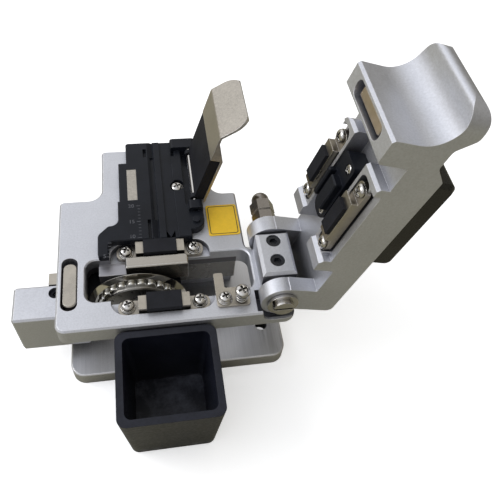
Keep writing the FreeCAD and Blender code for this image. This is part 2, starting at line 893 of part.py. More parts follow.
hook_end = d.tip_far + d.hook_reach
hook_face = d.arm_outer - d.hook_thick
notch_floor = d.arm_outer - d.notch_depth
body = new_body("arm_body")
add(body, "XZ_Plane", d.arm_front, d.arm_back, [arm_shape([
    (heel, d.arm_outer, d.heel_round),
    (heel, d.arm_hollow),
    (d.bar_near, d.arm_hollow, d.hollow_round),
    (d.bar_near, d.bar_face),
    (d.bar_far - d.arm_bevel, d.bar_face),
    (d.bar_far, d.rail_face),
    (d.rail_end - d.arm_bevel, d.rail_face),
    (d.rail_end, d.rail_face + d.arm_bevel),
    (d.rail_end, d.gap_floor),
    (d.tip_near, d.gap_floor),
    (d.tip_near, d.tip_bevel - d.tip_face),
    (d.tip_near + d.tip_bevel, -d.tip_face),
    (d.tip_far - d.tip_bevel, -d.tip_face),
    (d.tip_far, d.tip_bevel - d.tip_face),
    (d.tip_far, hook_face, d.hook_valley),
    (hook_end, hook_face, d.hook_inner_round),
    (hook_end, d.arm_outer, d.hook_outer_round),
    (d.tip_far + d.notch_depth, d.arm_outer, d.notch_round),
    (d.tip_far, notch_floor, d.notch_round),
    (d.tip_near + d.notch_start, notch_floor, d.notch_round),
    (d.tip_near + d.notch_start - d.notch_depth, d.arm_outer, d.piece_corner),
])])
ear_root = d.arm_hollow + d.overshoot
for low, high in ((d.arm_front, d.front_ear_inner), (d.rear_ear_inner, d.arm_back)):
    add(body, "XZ_Plane", low, high, [arm_shape([
        (heel, 0), (heel, ear_root), (d.ear_flat, ear_root), (d.ear_flat, 0)])])
    add(body, "XZ_Plane", low, high, [(0, 0, d.ear_radius)])
cut(body, "XZ_Plane", d.arm_front, d.arm_back, [(0, 0, d.shaft_radius + d.shaft_fit)])
cut(body, "XY_Plane", 0, d.arm_hollow, [
    rectangle(-d.tip_near, -d.ear_flat, -d.trench_half, d.trench_half)])
pocket_outer = d.upper_outer + d.pad_inset
for side in (-1, 1):
    pocket = sorted((d.pocket_inner * side, pocket_outer * side), key=lambda y: y.number)
    cut(body, "XY_Plane", 0, d.pocket_floor, [
        rectangle(-d.pocket_far, -d.wall_near, pocket[0], pocket[1], d.pocket_round)])
    edge = d.arm_back + d.overshoot if side > 0 else d.arm_front - d.overshoot
    wall = sorted((d.wall_front * side, edge), key=lambda y: y.number)
    cut(body, "XY_Plane", 0, d.wall_level, [rectangle(-d.wall_far, -d.wall_near, wall[0], wall[1])])


def round_corner(thing, u, y, way, radius, low, high):
    # Rounds an upright corner of the arm; way is 1 at the rear side and -1 at the front side
    reach = radius + d.overshoot
    cut(thing, "XY_Plane", low, high, [[
        (-u - d.overshoot, y - reach * way),
        (-u, y - reach * way),
        (-u, y, radius),
        (reach - u, y),
        (reach - u, y + d.overshoot * way),
        (-u - d.overshoot, y + d.overshoot * way)]])


round_corner(body, d.rail_end, d.arm_back, 1, d.tower_round, 0, d.gap_floor)
hook_low = d.arm_hollow - d.overshoot
hook_high = d.arm_outer + d.overshoot
round_corner(body, hook_end, d.arm_back, 1, d.hook_plan_round, hook_low, hook_high)
round_corner(body, hook_end, d.arm_front, -1, d.hook_plan_round, hook_low, hook_high)
arm_screws = [(x - d.hinge_x, y) for x, y in screw_spots]
cut(body, "XY_Plane", d.pocket_floor, d.pocket_floor + d.hole_depth, [
    (x, y, d.screw_shank) for x, y in arm_screws])
tip_middle = -(d.tip_near + d.tip_far) / 2
slot_low = -d.tip_face
slot_high = d.arm_slot_depth - d.tip_face
cut(body, "XY_Plane", slot_low, slot_high, [
    rectangle(tip_middle - d.arm_slot_width / 2, tip_middle + d.arm_slot_width / 2,
              d.magnet_front, d.magnet_back, d.arm_slot_width * d.slot_round)])
on_arm(body)
finish(body, "arm_body")

body = new_body("arm_magnet")
add(body, "XY_Plane", slot_low + d.magnet_below, slot_high, [
    rectangle(tip_middle - d.arm_magnet_width / 2, tip_middle + d.arm_magnet_width / 2,
              magnet_middle - magnet_reach, magnet_middle + magnet_reach,
              d.arm_magnet_width * d.slot_round)])
on_arm(body)
finish(body, "arm_magnet")

cover_front = d.arm_front + d.cover_front_inset
cover_back = d.arm_back - d.cover_back_inset
body = new_body("arm_cover")
add(body, "XZ_Plane", cover_front, cover_back, [arm_shape([
    (d.cover_near, d.arm_outer),
    (d.cover_near, d.cover_outer, d.cover_corner),
    (d.cover_far, d.cover_outer, d.cover_corner),
    (d.cover_far, d.arm_outer),
])])
dress(body, "Chamfer", d.cover_round, edges_where(body.Shape, lambda e: (
    flat_at("y", cover_front)(e) or flat_at("y", cover_back)(e))
    and e.valueAt((e.FirstParameter + e.LastParameter) / 2).z > d.arm_outer.number + slack))
on_arm(body)
finish(body, "arm_cover")

# Upper clamps: sprung holders with rubber pads, held by two screws each
pad_face = d.pad_top + d.pad_rest_gap - hinge_z
tab_face = pad_face + d.upper_sink
foot_face = d.upper_head_face + d.upper_head_thick + d.head_gap
foot_deep = foot_face + d.foot_thick
for name, side in (("front", -1), ("rear", 1)):
    near = d.upper_inner
    far = d.upper_outer
    span = (near, far) if side > 0 else (-far, -near)
    trim = d.pad_inset
    narrow = (near + trim, far - trim) if side > 0 else (trim - far, -near - trim)
    foot = d.foot_half - d.upper_trim
    body = new_body("upper_holder_" + name)
    add(body, "XY_Plane", foot_face, foot_deep, [
        rectangle(-foot - d.hinge_x, foot - d.hinge_x, span[0], span[1], d.foot_corner)])
    add(body, "XY_Plane", tab_face, foot_deep, [
        rectangle(-d.tab_half - d.hinge_x, d.tab_half - d.hinge_x, span[0], span[1], d.edge_break)])
    cut(body, "XY_Plane", tab_face, tab_face + d.pad_sink, [
        rectangle(-d.pad_half - d.hinge_x, d.pad_half - d.hinge_x, narrow[0], narrow[1])])
    cut(body, "XY_Plane", foot_face, foot_deep, [
        (x, y, d.screw_shank + d.hole_play) for x, y in arm_screws if y.number * side > 0])
    on_arm(body)
    finish(body, "upper_holder_" + name)
    body = new_body("upper_pad_" + name)
    add(body, "XY_Plane", pad_face, tab_face + d.pad_sink, [
        rectangle(-d.pad_half - d.hinge_x, d.pad_half - d.hinge_x, narrow[0], narrow[1])])
    on_arm(body)
    finish(body, "upper_pad_" + name)

screws = []
for i, (x, y) in enumerate(arm_screws):
    under_head = d.upper_head_face + d.upper_head_thick
    head = rod("upper_head_%d" % i, "z", x, y, d.upper_head_face, d.screw_head, d.upper_head_thick)
    shank = rod("upper_shank_%d" % i, "z", x, y, under_head, d.screw_shank,
                d.pocket_floor + d.hole_depth - under_head)
    screws.append(fuse("upper_screw_%d" % i, [head, shank]))
finish(on_arm(group("upper_screws", screws)), "upper_screws")

# Anvil between the upper pads: a black base with a bar and a ridge, held by two small screws
body = new_body("anvil")
add(body, "XY_Plane", d.anvil_base, d.arm_hollow, [[
    (-d.anvil_far, d.anvil_front, d.anvil_top_round),
    (-d.anvil_near, d.anvil_front, d.anvil_end_round),
    (-d.anvil_near, d.anvil_back, d.anvil_end_round),
    (-d.anvil_far, d.anvil_back, d.anvil_top_round)]])
add(body, "XY_Plane", d.anvil_face, d.anvil_base + d.anvil_face, [
    rectangle(-d.anvil_bar_far, -d.anvil_bar_near, d.anvil_bar_front, d.anvil_bar_back, d.edge_break),
    rectangle(-d.anvil_bar_far, -d.anvil_bar_near, d.anvil_ridge_front, d.anvil_back, d.edge_break)])
dress(body, "Chamfer", d.clamp_break, edges_where(body.Shape, flat_at("z", d.anvil_face)))
anvil_screws = []
anvil_middle = (d.anvil_bar_front + d.anvil_bar_back) / 2
for u in (d.anvil_near + d.anvil_screw_in, d.anvil_far - d.anvil_screw_in):
    anvil_screws.append((-u, anvil_middle))
cut(body, "XY_Plane", d.anvil_base, d.arm_hollow, [(x, y, d.thread_small) for x, y in anvil_screws])
cut(body, "XY_Plane", d.anvil_base, d.anvil_base + d.anvil_screw_sunk, [
    (x, y, d.anvil_screw_radius + d.shaft_fit) for x, y in anvil_screws])
on_arm(body)
finish(body, "anvil")

screws = []
for i, (x, y) in enumerate(anvil_screws):
    seat = d.anvil_base + d.anvil_screw_sunk
    head = rod("anvil_head_%d" % i, "z", x, y, seat - d.anvil_screw_rise, d.anvil_screw_radius,
               d.anvil_screw_rise)
    shank = rod("anvil_shank_%d" % i, "z", x, y, seat, d.thread_small, d.arm_hollow - seat)
    screws.append(fuse("anvil_screw_%d" % i, [head, shank]))
finish(on_arm(group("anvil_screws", screws)), "anvil_screws")


# Lower clamps: nickel holders seated in the deck, rubber pads on top, two screws each
foot_top = seat_floor + d.foot_thick
pad_bottom = d.pad_top - d.pad_sink
tab_top = d.pad_top - d.pad_proud
tab_outer = d.seat_reach - d.seat_clear
for name, side in (("front", -1), ("rear", 1)):
    near = d.foot_inner
    pad_far = d.pad_outer if side < 0 else tab_outer
    span = (near, tab_outer) if side > 0 else (-tab_outer, -near)
    pad_span = (d.pad_inner, pad_far) if side > 0 else (-pad_far, -d.pad_inner)
    body = new_body("lower_holder_" + name)
    add(body, "XY_Plane", seat_floor, foot_top, [
        rectangle(-d.foot_half, d.foot_half, span[0], span[1], d.foot_corner)])
    add(body, "XY_Plane", seat_floor, tab_top, [
        rectangle(-d.tab_half, d.tab_half, span[0], span[1])])
    cut(body, "XY_Plane", pad_bottom, tab_top, [
        rectangle(-d.pad_half, d.pad_half, pad_span[0], pad_span[1])])
    cut(body, "XY_Plane", seat_floor, foot_top, [
        (x, y, d.screw_shank) for x, y in screw_spots if y.number * side > 0])
    finish(body, "lower_holder_" + name)
    body = new_body("lower_pad_" + name)
    add(body, "XY_Plane", pad_bottom, d.pad_top, [
        rectangle(-d.pad_half, d.pad_half, pad_span[0], pad_span[1])])
    finish(body, "lower_pad_" + name)


round_sides = 12
shank_sides = 8


def flat_ring(name, x, y, low):
    # A flat washer under a screw head
    disc = prism_peg(name + "_disc", x, y, low, d.ring_radius, d.ring_thick, round_sides)
    hole = prism_peg(name + "_hole", x, y, low, d.screw_shank, d.ring_thick, shank_sides)
    return less(name, disc, hole)


def deck_screw(name, x, y, seat, radius, thick):
    # A round-headed screw whose head sits at a level and whose shank ends inside the deck
    end = d.deck_under + d.screw_end
    head = prism_peg(name + "_head", x, y, seat, radius, thick, round_sides)
    shank = prism_peg(name + "_shank", x, y, end, d.screw_shank, seat - end, shank_sides)
    return fuse(name + "_all", [head, shank])


screws = []
washers = []
for i, (x, y) in enumerate(screw_spots):
    washers.append(flat_ring("lower_washer_%d" % i, x, y, foot_top))
    screws.append(deck_screw("lower_screw_%d" % i, x, y, foot_top + d.ring_thick, d.screw_head,
                             d.screw_head_height))
finish(group("lower_screws", screws), "lower_screws")
finish(group("lower_washers", washers), "lower_washers")

# Steel bar and grey block on the rear wall of the slot
body = new_body("clamp_bar")
add(body, "XY_Plane", d.clamp_bottom, d.clamp_top, [[
    (d.clamp_left, d.clamp_front), (d.clamp_right, d.clamp_front),
    (d.clamp_right, d.clamp_back, d.piece_corner), (d.clamp_left, d.clamp_back)]])
add(body, "XY_Plane", d.clamp_bottom, seat_floor, [
    rectangle(d.clamp_left, d.clamp_right, d.clamp_front, d.slot_half)])
dress(body, "Chamfer", d.clamp_break, edges_where(body.Shape, flat_at("z", d.clamp_top)))
finish(body, "clamp_bar")

body = new_body("side_block")
add(body, "XY_Plane", d.clamp_bottom, d.side_top, [
    rectangle(d.side_left, d.clamp_left, d.side_front, d.side_back)])
add(body, "XY_Plane", d.clamp_bottom, seat_floor, [
    rectangle(d.side_left, d.clamp_left, d.side_front, d.slot_half)])
finish(body, "side_block")

# Slide: thumb bar, rail, carriage and the wheel with the round blade
body = new_body("guide_rail")
add(body, "YZ_Plane", d.support_left, d.support_right, [
    rectangle(d.rail_front, d.support_front, d.rail_bottom, d.rail_top)])
dress(body, "Chamfer", d.edge_break, edges_where(body.Shape, flat_at("y", d.rail_front)))
finish(body, "guide_rail")

body = new_body("thumb_bar")
add(body, "YZ_Plane", d.thumb_left, d.thumb_right, [
    rectangle(d.thumb_front, d.thumb_back, d.thumb_bottom, d.thumb_top)])
dress(body, "Chamfer", d.thumb_bevel, edges_where(body.Shape, lambda e: (
    flat_at("x", d.thumb_left)(e) or flat_at("z", d.thumb_top)(e))))
thumb_seat = d.thumb_top - d.thumb_screw_depth
cut(body, "XY_Plane", thumb_seat, d.thumb_top, [
    (d.thumb_screw_x, d.thumb_screw_y, d.thumb_screw_radius)])
finish(body, "thumb_bar")

bar_screw_top = d.thumb_top - d.socket_depth
bar_screw = rod("thumb_screw_peg", "z", d.thumb_screw_x, d.thumb_screw_y, thumb_seat,
                d.thumb_screw_radius, bar_screw_top - thumb_seat)
bar_socket = prism_peg("thumb_socket", d.thumb_screw_x, d.thumb_screw_y,
                     bar_screw_top - d.socket_depth, d.socket_depth, d.socket_depth * 2)
finish(less("thumb_screw", bar_screw, bar_socket), "thumb_screw")

tab_left = d.thumb_screw_x - d.slide_tab_width / 2
tab_back = d.thumb_back + d.slide_tab_width
body = new_body("slide_tab")
add(body, "XY_Plane", d.carriage_top, d.thumb_top, [
    rectangle(tab_left, tab_left + d.slide_tab_rib, d.thumb_back, tab_back)])
add(body, "XY_Plane", d.carriage_top, d.carriage_top + d.socket_depth, [
    rectangle(tab_left, d.thumb_right + d.overshoot, d.thumb_back, tab_back)])
finish(body, "slide_tab")

grip = d.rail_front + d.carriage_grip
rail_under = d.rail_bottom - d.rail_run
rail_over = d.rail_top + d.rail_run
body = new_body("carriage")
add(body, "YZ_Plane", d.thumb_right, d.carriage_right, [[
    (d.carriage_front, d.carriage_bottom), (grip, d.carriage_bottom),
    (grip, rail_under), (d.rail_front - d.rail_run, rail_under),
    (d.rail_front - d.rail_run, rail_over), (grip, rail_over),
    (grip, d.carriage_top), (d.carriage_front, d.carriage_top)]])
cut(body, "XZ_Plane", d.carriage_front, d.carriage_front + d.axle_deep, [
    (d.wheel_x, d.wheel_z, d.axle_radius)])
finish(body, "carriage")

blade_front = d.blade_back - d.blade_thick
blade_middle = (d.blade_back + blade_front) / 2
blade_edge = d.wheel_z + d.blade_radius
blade_flat = blade_edge - d.bevel_width
hub_back = d.carriage_front - d.hub_gap
body = new_body("blade_wheel")
spin(body, d.wheel_x, [
    (blade_front, d.wheel_z + d.bore_radius),
    (hub_back, d.wheel_z + d.bore_radius),
    (hub_back, d.wheel_z + d.hub_radius),
    (d.blade_back, d.wheel_z + d.hub_radius),
    (d.blade_back, blade_flat),
    (blade_middle + d.blade_tip, blade_edge),
    (blade_middle - d.blade_tip, blade_edge),
    (blade_front, blade_flat)], blade_front, hub_back, d.wheel_z)
finish(body, "blade_wheel")

body = new_body("ratchet_ring")
saw = []
root = d.tooth_radius - d.tooth_depth
tooth_turn = 2 * math.pi / d.tooth_count.number
for i in range(int(d.tooth_count.number)):
    for reach, turn in ((d.tooth_radius, i), (root, i + d.tooth_step.number)):
        angle = tooth_turn * turn
        saw.append((d.wheel_x + reach * math.cos(angle), d.wheel_z + reach * math.sin(angle)))
add(body, "XZ_Plane", d.ring_far, blade_front, [saw])
cut(body, "XZ_Plane", d.ring_far, blade_front, [(d.wheel_x, d.wheel_z, d.bore_radius)])
finish(body, "ratchet_ring")

body = new_body("number_disc")
add(body, "XZ_Plane", d.clamp_disc_front, d.ring_far, [
    (d.wheel_x, d.wheel_z, d.clamp_disc_radius)])
dress(body, "Chamfer", d.edge_break, edges_where(body.Shape, flat_at("y", d.clamp_disc_front)))
cut(body, "XZ_Plane", d.clamp_disc_front, d.ring_far, [(d.wheel_x, d.wheel_z, d.bore_radius)])
finish(body, "number_disc")

axle_front = d.clamp_disc_front - d.washer_gap
head_front = axle_front - d.axle_head_thick
axle = rod("axle_peg", "y", d.wheel_x, axle_front, d.wheel_z, d.axle_radius,
           d.carriage_front + d.axle_deep - axle_front)
axle_head = rod("axle_head", "y", d.wheel_x, head_front, d.wheel_z, d.axle_head_radius,
                d.axle_head_thick)
axle_slit = box("axle_slit", d.wheel_x - d.hub_radius, d.wheel_x + d.hub_radius,
                head_front - d.axle_head_thick, head_front + d.axle_head_thick / 2,
                d.wheel_z - d.slit_half, d.wheel_z + d.slit_half)
finish(less("wheel_axle", fuse("axle_whole", [axle, axle_head]), axle_slit), "wheel_axle")

# Fibre adapter: black block with the groove, behind the blade
body = new_body("fibre_adapter")
knuckle_side = d.knuckle_right - d.washer_gap
slim_left = d.insert_left
add(body, "XY_Plane", deck_top, d.adapter_top, [[
    (d.adapter_front_right, d.adapter_front),
    (d.adapter_front_right, d.front_step),
    (knuckle_side, d.front_step, d.front_round),
    (knuckle_side, d.knuckle_mid),
    (d.adapter_right, d.knuckle_mid),
    (d.adapter_right, d.knuckle_rear),
    (d.knuckle_right, d.knuckle_rear),
    (d.knuckle_right, d.adapter_back, d.edge_break),
    (slim_left, d.adapter_back, d.piece_corner),
    (slim_left, d.adapter_step_back),
    (d.adapter_left, d.adapter_step_back, d.edge_break),
    (d.adapter_left, d.scale_back),
    (d.scale_left, d.scale_back),
    (d.scale_left, d.wing_start, d.lip_round),
    (d.adapter_leg, d.wing_start, d.overshoot),
    (d.wing_left, d.wing_start - d.adapter_lean, d.lip_round),
    (d.wing_left, d.wing_front, d.piece_corner),
    (d.adapter_leg, d.wing_front),
    (d.adapter_leg, d.adapter_front, d.notch_round),
]])
dress(body, "Chamfer", d.clamp_break, edges_where(body.Shape, flat_at("z", d.adapter_top)))
behind = d.adapter_back + d.overshoot
before = d.adapter_front - d.overshoot
ledge = d.adapter_top - d.ledge_drop
cut(body, "XY_Plane", ledge, d.adapter_top, [
    rectangle(d.adapter_step, d.adapter_right + d.overshoot, d.knuckle_mid, d.knuckle_rear)])
cut(body, "XY_Plane", deck_top + d.groove_extra, ledge, [
    rectangle(d.adapter_step + d.screw_end, d.adapter_right + d.overshoot,
              d.knuckle_rear - d.ledge_pocket, d.knuckle_rear)])
groove_low = d.adapter_top - d.groove_depth
groove_rim = d.adapter_top + d.washer_gap
cut(body, "XZ_Plane", before, behind, [[
    (0, groove_low), (d.groove_right, groove_rim), (d.groove_left, groove_rim)]])
cut(body, "XY_Plane", groove_low - d.groove_extra, d.adapter_top, [
    rectangle(d.groove_left / 2, d.groove_right / 2, d.groove_mid_front, d.groove_mid_back)])
cut(body, "XY_Plane", d.adapter_top - d.trough_depth, d.adapter_top, [
    rectangle(d.trough_left, d.trough_right, before, behind)])
trough_side = d.trough_right - d.screw_shank
point = d.adapter_front + d.edge_break
shoulder = point + d.trough_point
cut(body, "XY_Plane", deck_top + d.groove_extra, d.adapter_top, [[
    (d.trough_left, before), (trough_side, before), (trough_side, shoulder),
    ((d.trough_left + trough_side) / 2, point), (d.trough_left, shoulder)]])
pocket_floor = d.adapter_top - d.pocket_depth
cut(body, "XY_Plane", pocket_floor, d.adapter_top, [
    rectangle(d.groove_left - d.pocket_depth, d.groove_left, d.cross_front, d.cross_back),
    rectangle(d.trough_right, d.trough_right + d.pocket_depth, d.cross_front, d.cross_back),
    rectangle(d.groove_left - d.piece_corner, d.groove_left, before, d.groove_mid_front)])
cut(body, "XY_Plane", d.adapter_top - d.insert_thick, d.adapter_top, [
    rectangle(d.insert_left, d.insert_right, d.insert_front, d.insert_back)])
cut(body, "XY_Plane", deck_top, d.adapter_top, [
    (d.adapter_screw_x, d.adapter_screw_y, d.screw_shank)])
cut(body, "XY_Plane", d.adapter_top - d.adapter_screw_sunk, d.adapter_top, [
    (d.adapter_screw_x, d.adapter_screw_y, d.adapter_head_radius + d.clamp_break)])
knuckle_left = d.knuckle_right - d.knuckle_width
knuckle_base = deck_top + d.edge_break
knuckle_top = d.lever_z + d.knuckle_up
rear_top = d.lever_z + d.knuckle_low
for low, high, left, top in (
        (d.knuckle_front, d.knuckle_mid, knuckle_left, knuckle_top),
        (d.knuckle_rear, d.knuckle_end, d.trough_right, rear_top)):
    add(body, "XZ_Plane", low, high, [[
        (left, knuckle_base), (knuckle_side, knuckle_base),
        (knuckle_side, top, d.piece_corner), (left, top, d.piece_corner)]])
    cut(body, "XZ_Plane", low, high, [(d.lever_x, d.lever_z, d.pin_radius)])
stop_seat = d.adapter_top - d.insert_thick
cut(body, "XY_Plane", stop_seat, d.adapter_top, [(d.stop_x, d.stop_y, d.stop_radius)])
finish(body, "fibre_adapter")

body = new_body("adapter_insert")
add(body, "XY_Plane", d.adapter_top - d.insert_thick, d.adapter_top - d.insert_below, [
    rectangle(d.insert_left, d.insert_right, d.insert_front, d.insert_back)])
finish(body, "adapter_insert")

finish(deck_screw("adapter_screw", d.adapter_screw_x, d.adapter_screw_y,
                  d.adapter_top - d.adapter_screw_sunk, d.adapter_head_radius,
                  d.adapter_head_thick), "adapter_screw")
finish(rod("stop_pin_peg", "z", d.stop_x, d.stop_y, stop_seat, d.stop_radius, d.stop_height),
       "stop_pin")
finish(rod("lever_pin_peg", "y", d.lever_x, d.pin_front, d.lever_z, d.pin_radius,
           d.pin_back - d.pin_front), "lever_pin")

# Flip lever: a thick black pad on two eyes round the pin, and a bent sheet on its back
inner = d.lever_inner
outer = inner + d.lever_pad_thick
pad_front = d.lever_front + d.pad_inset
pad_back = d.lever_back - d.pad_inset
body = new_body("lever_pad")
pad_foot = d.pin_radius + d.pin_show
add(body, "XZ_Plane", pad_front, pad_back, [
    rectangle(inner, outer, pad_foot, d.lever_pad_far)])
for low in (pad_front, pad_back - d.lobe_width):
    high = low + d.lobe_width
    add(body, "XZ_Plane", low, high, [rectangle(inner, outer, 0, pad_foot)])
    add(body, "XZ_Plane", low, high, [(0, 0, d.lever_sleeve)])
    cut(body, "XZ_Plane", low, high, [(0, 0, d.pin_radius + d.shaft_fit)])
on_lever(body)
finish(body, "lever_pad")

tab_angle = math.radians(d.tab_turn.number)
along = (math.sin(tab_angle), math.cos(tab_angle))
across = (math.cos(tab_angle), -math.sin(tab_angle))
tab_end = (inner + d.tab_length * along[0], d.sheet_bend + d.tab_length * along[1])
neck = inner + d.sheet_thick
body = new_body("lever_sheet")
add(body, "XZ_Plane", d.lever_front, d.lever_back, [[
    (outer, d.sheet_foot),
    (outer + d.sheet_thick, d.sheet_foot),
    (outer + d.sheet_thick, d.lever_pad_far, d.screw_end),
    (neck, d.sheet_neck, d.piece_corner),
    (neck, d.sheet_bend - d.bend_shift, d.screw_end),
    (tab_end[0] + d.sheet_thick * across[0], tab_end[1] + d.sheet_thick * across[1]),
    (tab_end[0], tab_end[1]),
    (inner, d.sheet_bend, d.piece_corner),
    (inner, d.lever_pad_far),
    (outer, d.lever_pad_far),
]])
tip = tab_end[1]
for end, way in ((d.lever_front, 1), (d.lever_back, -1)):
    reach = d.tab_round + d.edge_break
    cut(body, "YZ_Plane", inner, tab_end[0] + d.overshoot, [[
        (end - d.overshoot * way, tip - reach), (end, tip - reach), (end, tip, d.tab_round),
        (end + reach * way, tip), (end + reach * way, tip + d.overshoot),
        (end - d.overshoot * way, tip + d.overshoot)]])
on_lever(body)
finish(body, "lever_sheet")

# Pawl bracket beside the slot, with its screw, and the screw with the coil spring
body = new_body("pawl_bracket")
bracket_top = deck_top + d.bracket_thick
add(body, "XY_Plane", deck_top, bracket_top, [[
    (d.bracket_left, d.bracket_front, d.piece_corner),
    (d.bracket_right, d.bracket_front, d.piece_corner),
    (d.bracket_right, d.bracket_back, d.piece_corner),
    (d.bracket_tab_right, d.bracket_back, d.screw_end),
    (d.bracket_tab_right, d.bracket_tab_back, d.screw_end),
    (d.bracket_left, d.bracket_tab_back, d.screw_end)]])
cut(body, "XY_Plane", deck_top, bracket_top, [
    (d.bracket_screw_x, d.bracket_screw_y, d.screw_shank),
    (d.spring_x, d.spring_y, d.screw_shank)])
finish(body, "pawl_bracket")

finish(flat_ring("bracket_washer_all", d.bracket_screw_x, d.bracket_screw_y, bracket_top),
       "bracket_washer")
finish(deck_screw("bracket_screw", d.bracket_screw_x, d.bracket_screw_y,
                  bracket_top + d.ring_thick, d.screw_head, d.screw_head_height), "bracket_screw")

spring_top = bracket_top + d.spring_height
collar = rod("spring_collar", "z", d.spring_x, d.spring_y, spring_top, d.ring_radius,
             d.edge_break)
spring_head = deck_screw("spring_screw", d.spring_x, d.spring_y, spring_top, d.screw_head,
                         d.screw_head_height)
finish(fuse("spring_screw_whole", [spring_head, collar]), "spring_screw")

helix = doc.addObject("Part::Helix", "spring_line")
helix.Pitch = d.spring_pitch.number
helix.Radius = d.spring_radius.number
bind(helix, "Pitch", d.spring_pitch)
bind(helix, "Height", d.spring_height - 2 * d.wire_radius - d.head_gap)
bind(helix, "Radius", d.spring_radius)
wire = doc.addObject("Part::RegularPolygon", "spring_wire")
wire.Polygon = 4
wire.Circumradius = d.wire_radius.number
bind(wire, "Circumradius", d.wire_radius)
wire.Placement = FreeCAD.Placement(
    FreeCAD.Vector(d.spring_radius.number, 0, 0), FreeCAD.Rotation(FreeCAD.Vector(1, 0, 0), 90))
bind(wire, "Placement.Base.x", d.spring_radius)
coil = doc.addObject("Part::Sweep", "spring_coil")
coil.Sections = [wire]
coil.Spine = (helix, [])
coil.Solid = True
coil.Frenet = True
doc.recompute()
place(coil, d.spring_x, d.spring_y, bracket_top + d.wire_radius + d.head_gap / 2)
finish(coil, "pawl_spring")

# Plain label on the right wing of the deck
body = new_body("label_plate")
add(body, "XY_Plane", deck_top, deck_top + d.label_thick, [
    rectangle(d.label_left, d.label_right, d.label_front, d.label_back, d.label_corner)])
finish(body, "label_plate")

# Bin for the fibre ends: a tapered box open at the top
body = new_body("scrap_bin")


def bin_level(height, wall, corner):
    taper = 1 - (height - d.bin_bottom).number / (d.bin_top - d.bin_bottom).number
    share = sized(round(taper, 6))
    return rectangle(d.bin_left + share * d.bin_side_taper + wall,
                     d.bin_right - share * d.bin_side_taper - wall,
                     d.bin_front + share * d.bin_front_taper + wall, d.bin_back - wall, corner)


def skin(kind, name, wall, low, corner):
    # Joins the outlines at two heights into one tapered form
    sketches = []
    for height in (low, d.bin_top):
        sketch = new_sketch(body, "XY_Plane", height)
        draw(sketch, bin_level(height, wall, corner))
        sketches.append(sketch)
    doc.recompute()
    feature = body.newObject("PartDesign::" + kind, name)
    feature.Profile = sketches[0]
    feature.Sections = sketches[1:]
    feature.Ruled = True
    doc.recompute()
    return feature


skin("AdditiveLoft", "bin_outside", sized(0), d.bin_bottom, d.bin_corner)
skin("SubtractiveLoft", "bin_inside", d.bin_wall, d.bin_bottom + d.bin_wall, d.bin_inner_corner)
finish(body, "scrap_bin")

doc.recompute()
for thing in doc.Objects:
    if "Invalid" in thing.State or "Error" in thing.State:
        raise RuntimeError("%s could not be made" % thing.Name)
for thing in pieces:
    if thing.Shape.isNull() or not thing.Shape.isValid():
        raise RuntimeError("%s has no sound shape" % thing.Label)
    thing.Shape.exportStep("parts/%s.step" % thing.Label)
    print(thing.Label, len(thing.Shape.Solids), round(thing.Shape.Volume, 1))
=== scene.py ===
# Looks of the fibre cleaver: finishes, screws, scale marks, floor, light and camera.
import json
import math
import bmesh
import bpy
from mathutils import Matrix, Vector


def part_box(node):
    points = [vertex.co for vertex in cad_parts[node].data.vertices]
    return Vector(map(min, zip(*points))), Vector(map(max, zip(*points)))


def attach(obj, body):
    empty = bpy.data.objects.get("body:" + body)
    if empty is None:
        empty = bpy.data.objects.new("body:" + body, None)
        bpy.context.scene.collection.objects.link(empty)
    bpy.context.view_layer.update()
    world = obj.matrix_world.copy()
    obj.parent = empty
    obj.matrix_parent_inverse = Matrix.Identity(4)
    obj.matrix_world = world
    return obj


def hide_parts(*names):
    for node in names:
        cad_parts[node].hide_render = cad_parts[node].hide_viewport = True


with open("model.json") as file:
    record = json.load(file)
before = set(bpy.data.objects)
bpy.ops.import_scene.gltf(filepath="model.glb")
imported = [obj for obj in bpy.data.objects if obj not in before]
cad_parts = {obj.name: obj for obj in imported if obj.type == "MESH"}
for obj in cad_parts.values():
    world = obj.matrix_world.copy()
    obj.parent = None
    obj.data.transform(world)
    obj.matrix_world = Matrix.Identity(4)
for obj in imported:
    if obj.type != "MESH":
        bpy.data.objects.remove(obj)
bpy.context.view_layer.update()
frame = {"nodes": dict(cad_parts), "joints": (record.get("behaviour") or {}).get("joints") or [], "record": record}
nodes = frame["nodes"]
joints = {joint["name"]: joint for joint in frame["joints"]}
bodyOf = {name: body for body, names in frame["record"]["behaviour"]["bodies"].items()
          for name in names}
scene = bpy.context.scene
mm = 0.001
upward = Vector((0, 0, 1))
toBack = Vector((0, 1, 0))
toFront = Vector((0, -1, 0))
noiseSpan = (0.3, 0.7)  # where most of a noise's values lie
edgeSpan = (0.995, 0.9)  # how far two normals agree, from a flat face to a full edge
print("frame loaded:", len(nodes), "nodes")


class Wire:
    # one output of a shader node, so that masks are written as sums
    def __init__(self, net, socket):
        self.net = net
        self.socket = socket

    def __add__(self, other):
        return self.net.maths("ADD", self, other)

    def __sub__(self, other):
        return self.net.maths("SUBTRACT", self, other)

    def __rsub__(self, other):
        return self.net.maths("SUBTRACT", other, self)

    def __mul__(self, other):
        return self.net.maths("MULTIPLY", self, other)

    def __pow__(self, other):
        return self.net.maths("POWER", self, other)

    def __gt__(self, other):
        return self.net.maths("GREATER_THAN", self, other)

    def __lt__(self, other):
        return self.net.maths("LESS_THAN", self, other)

    __radd__ = __add__
    __rmul__ = __mul__


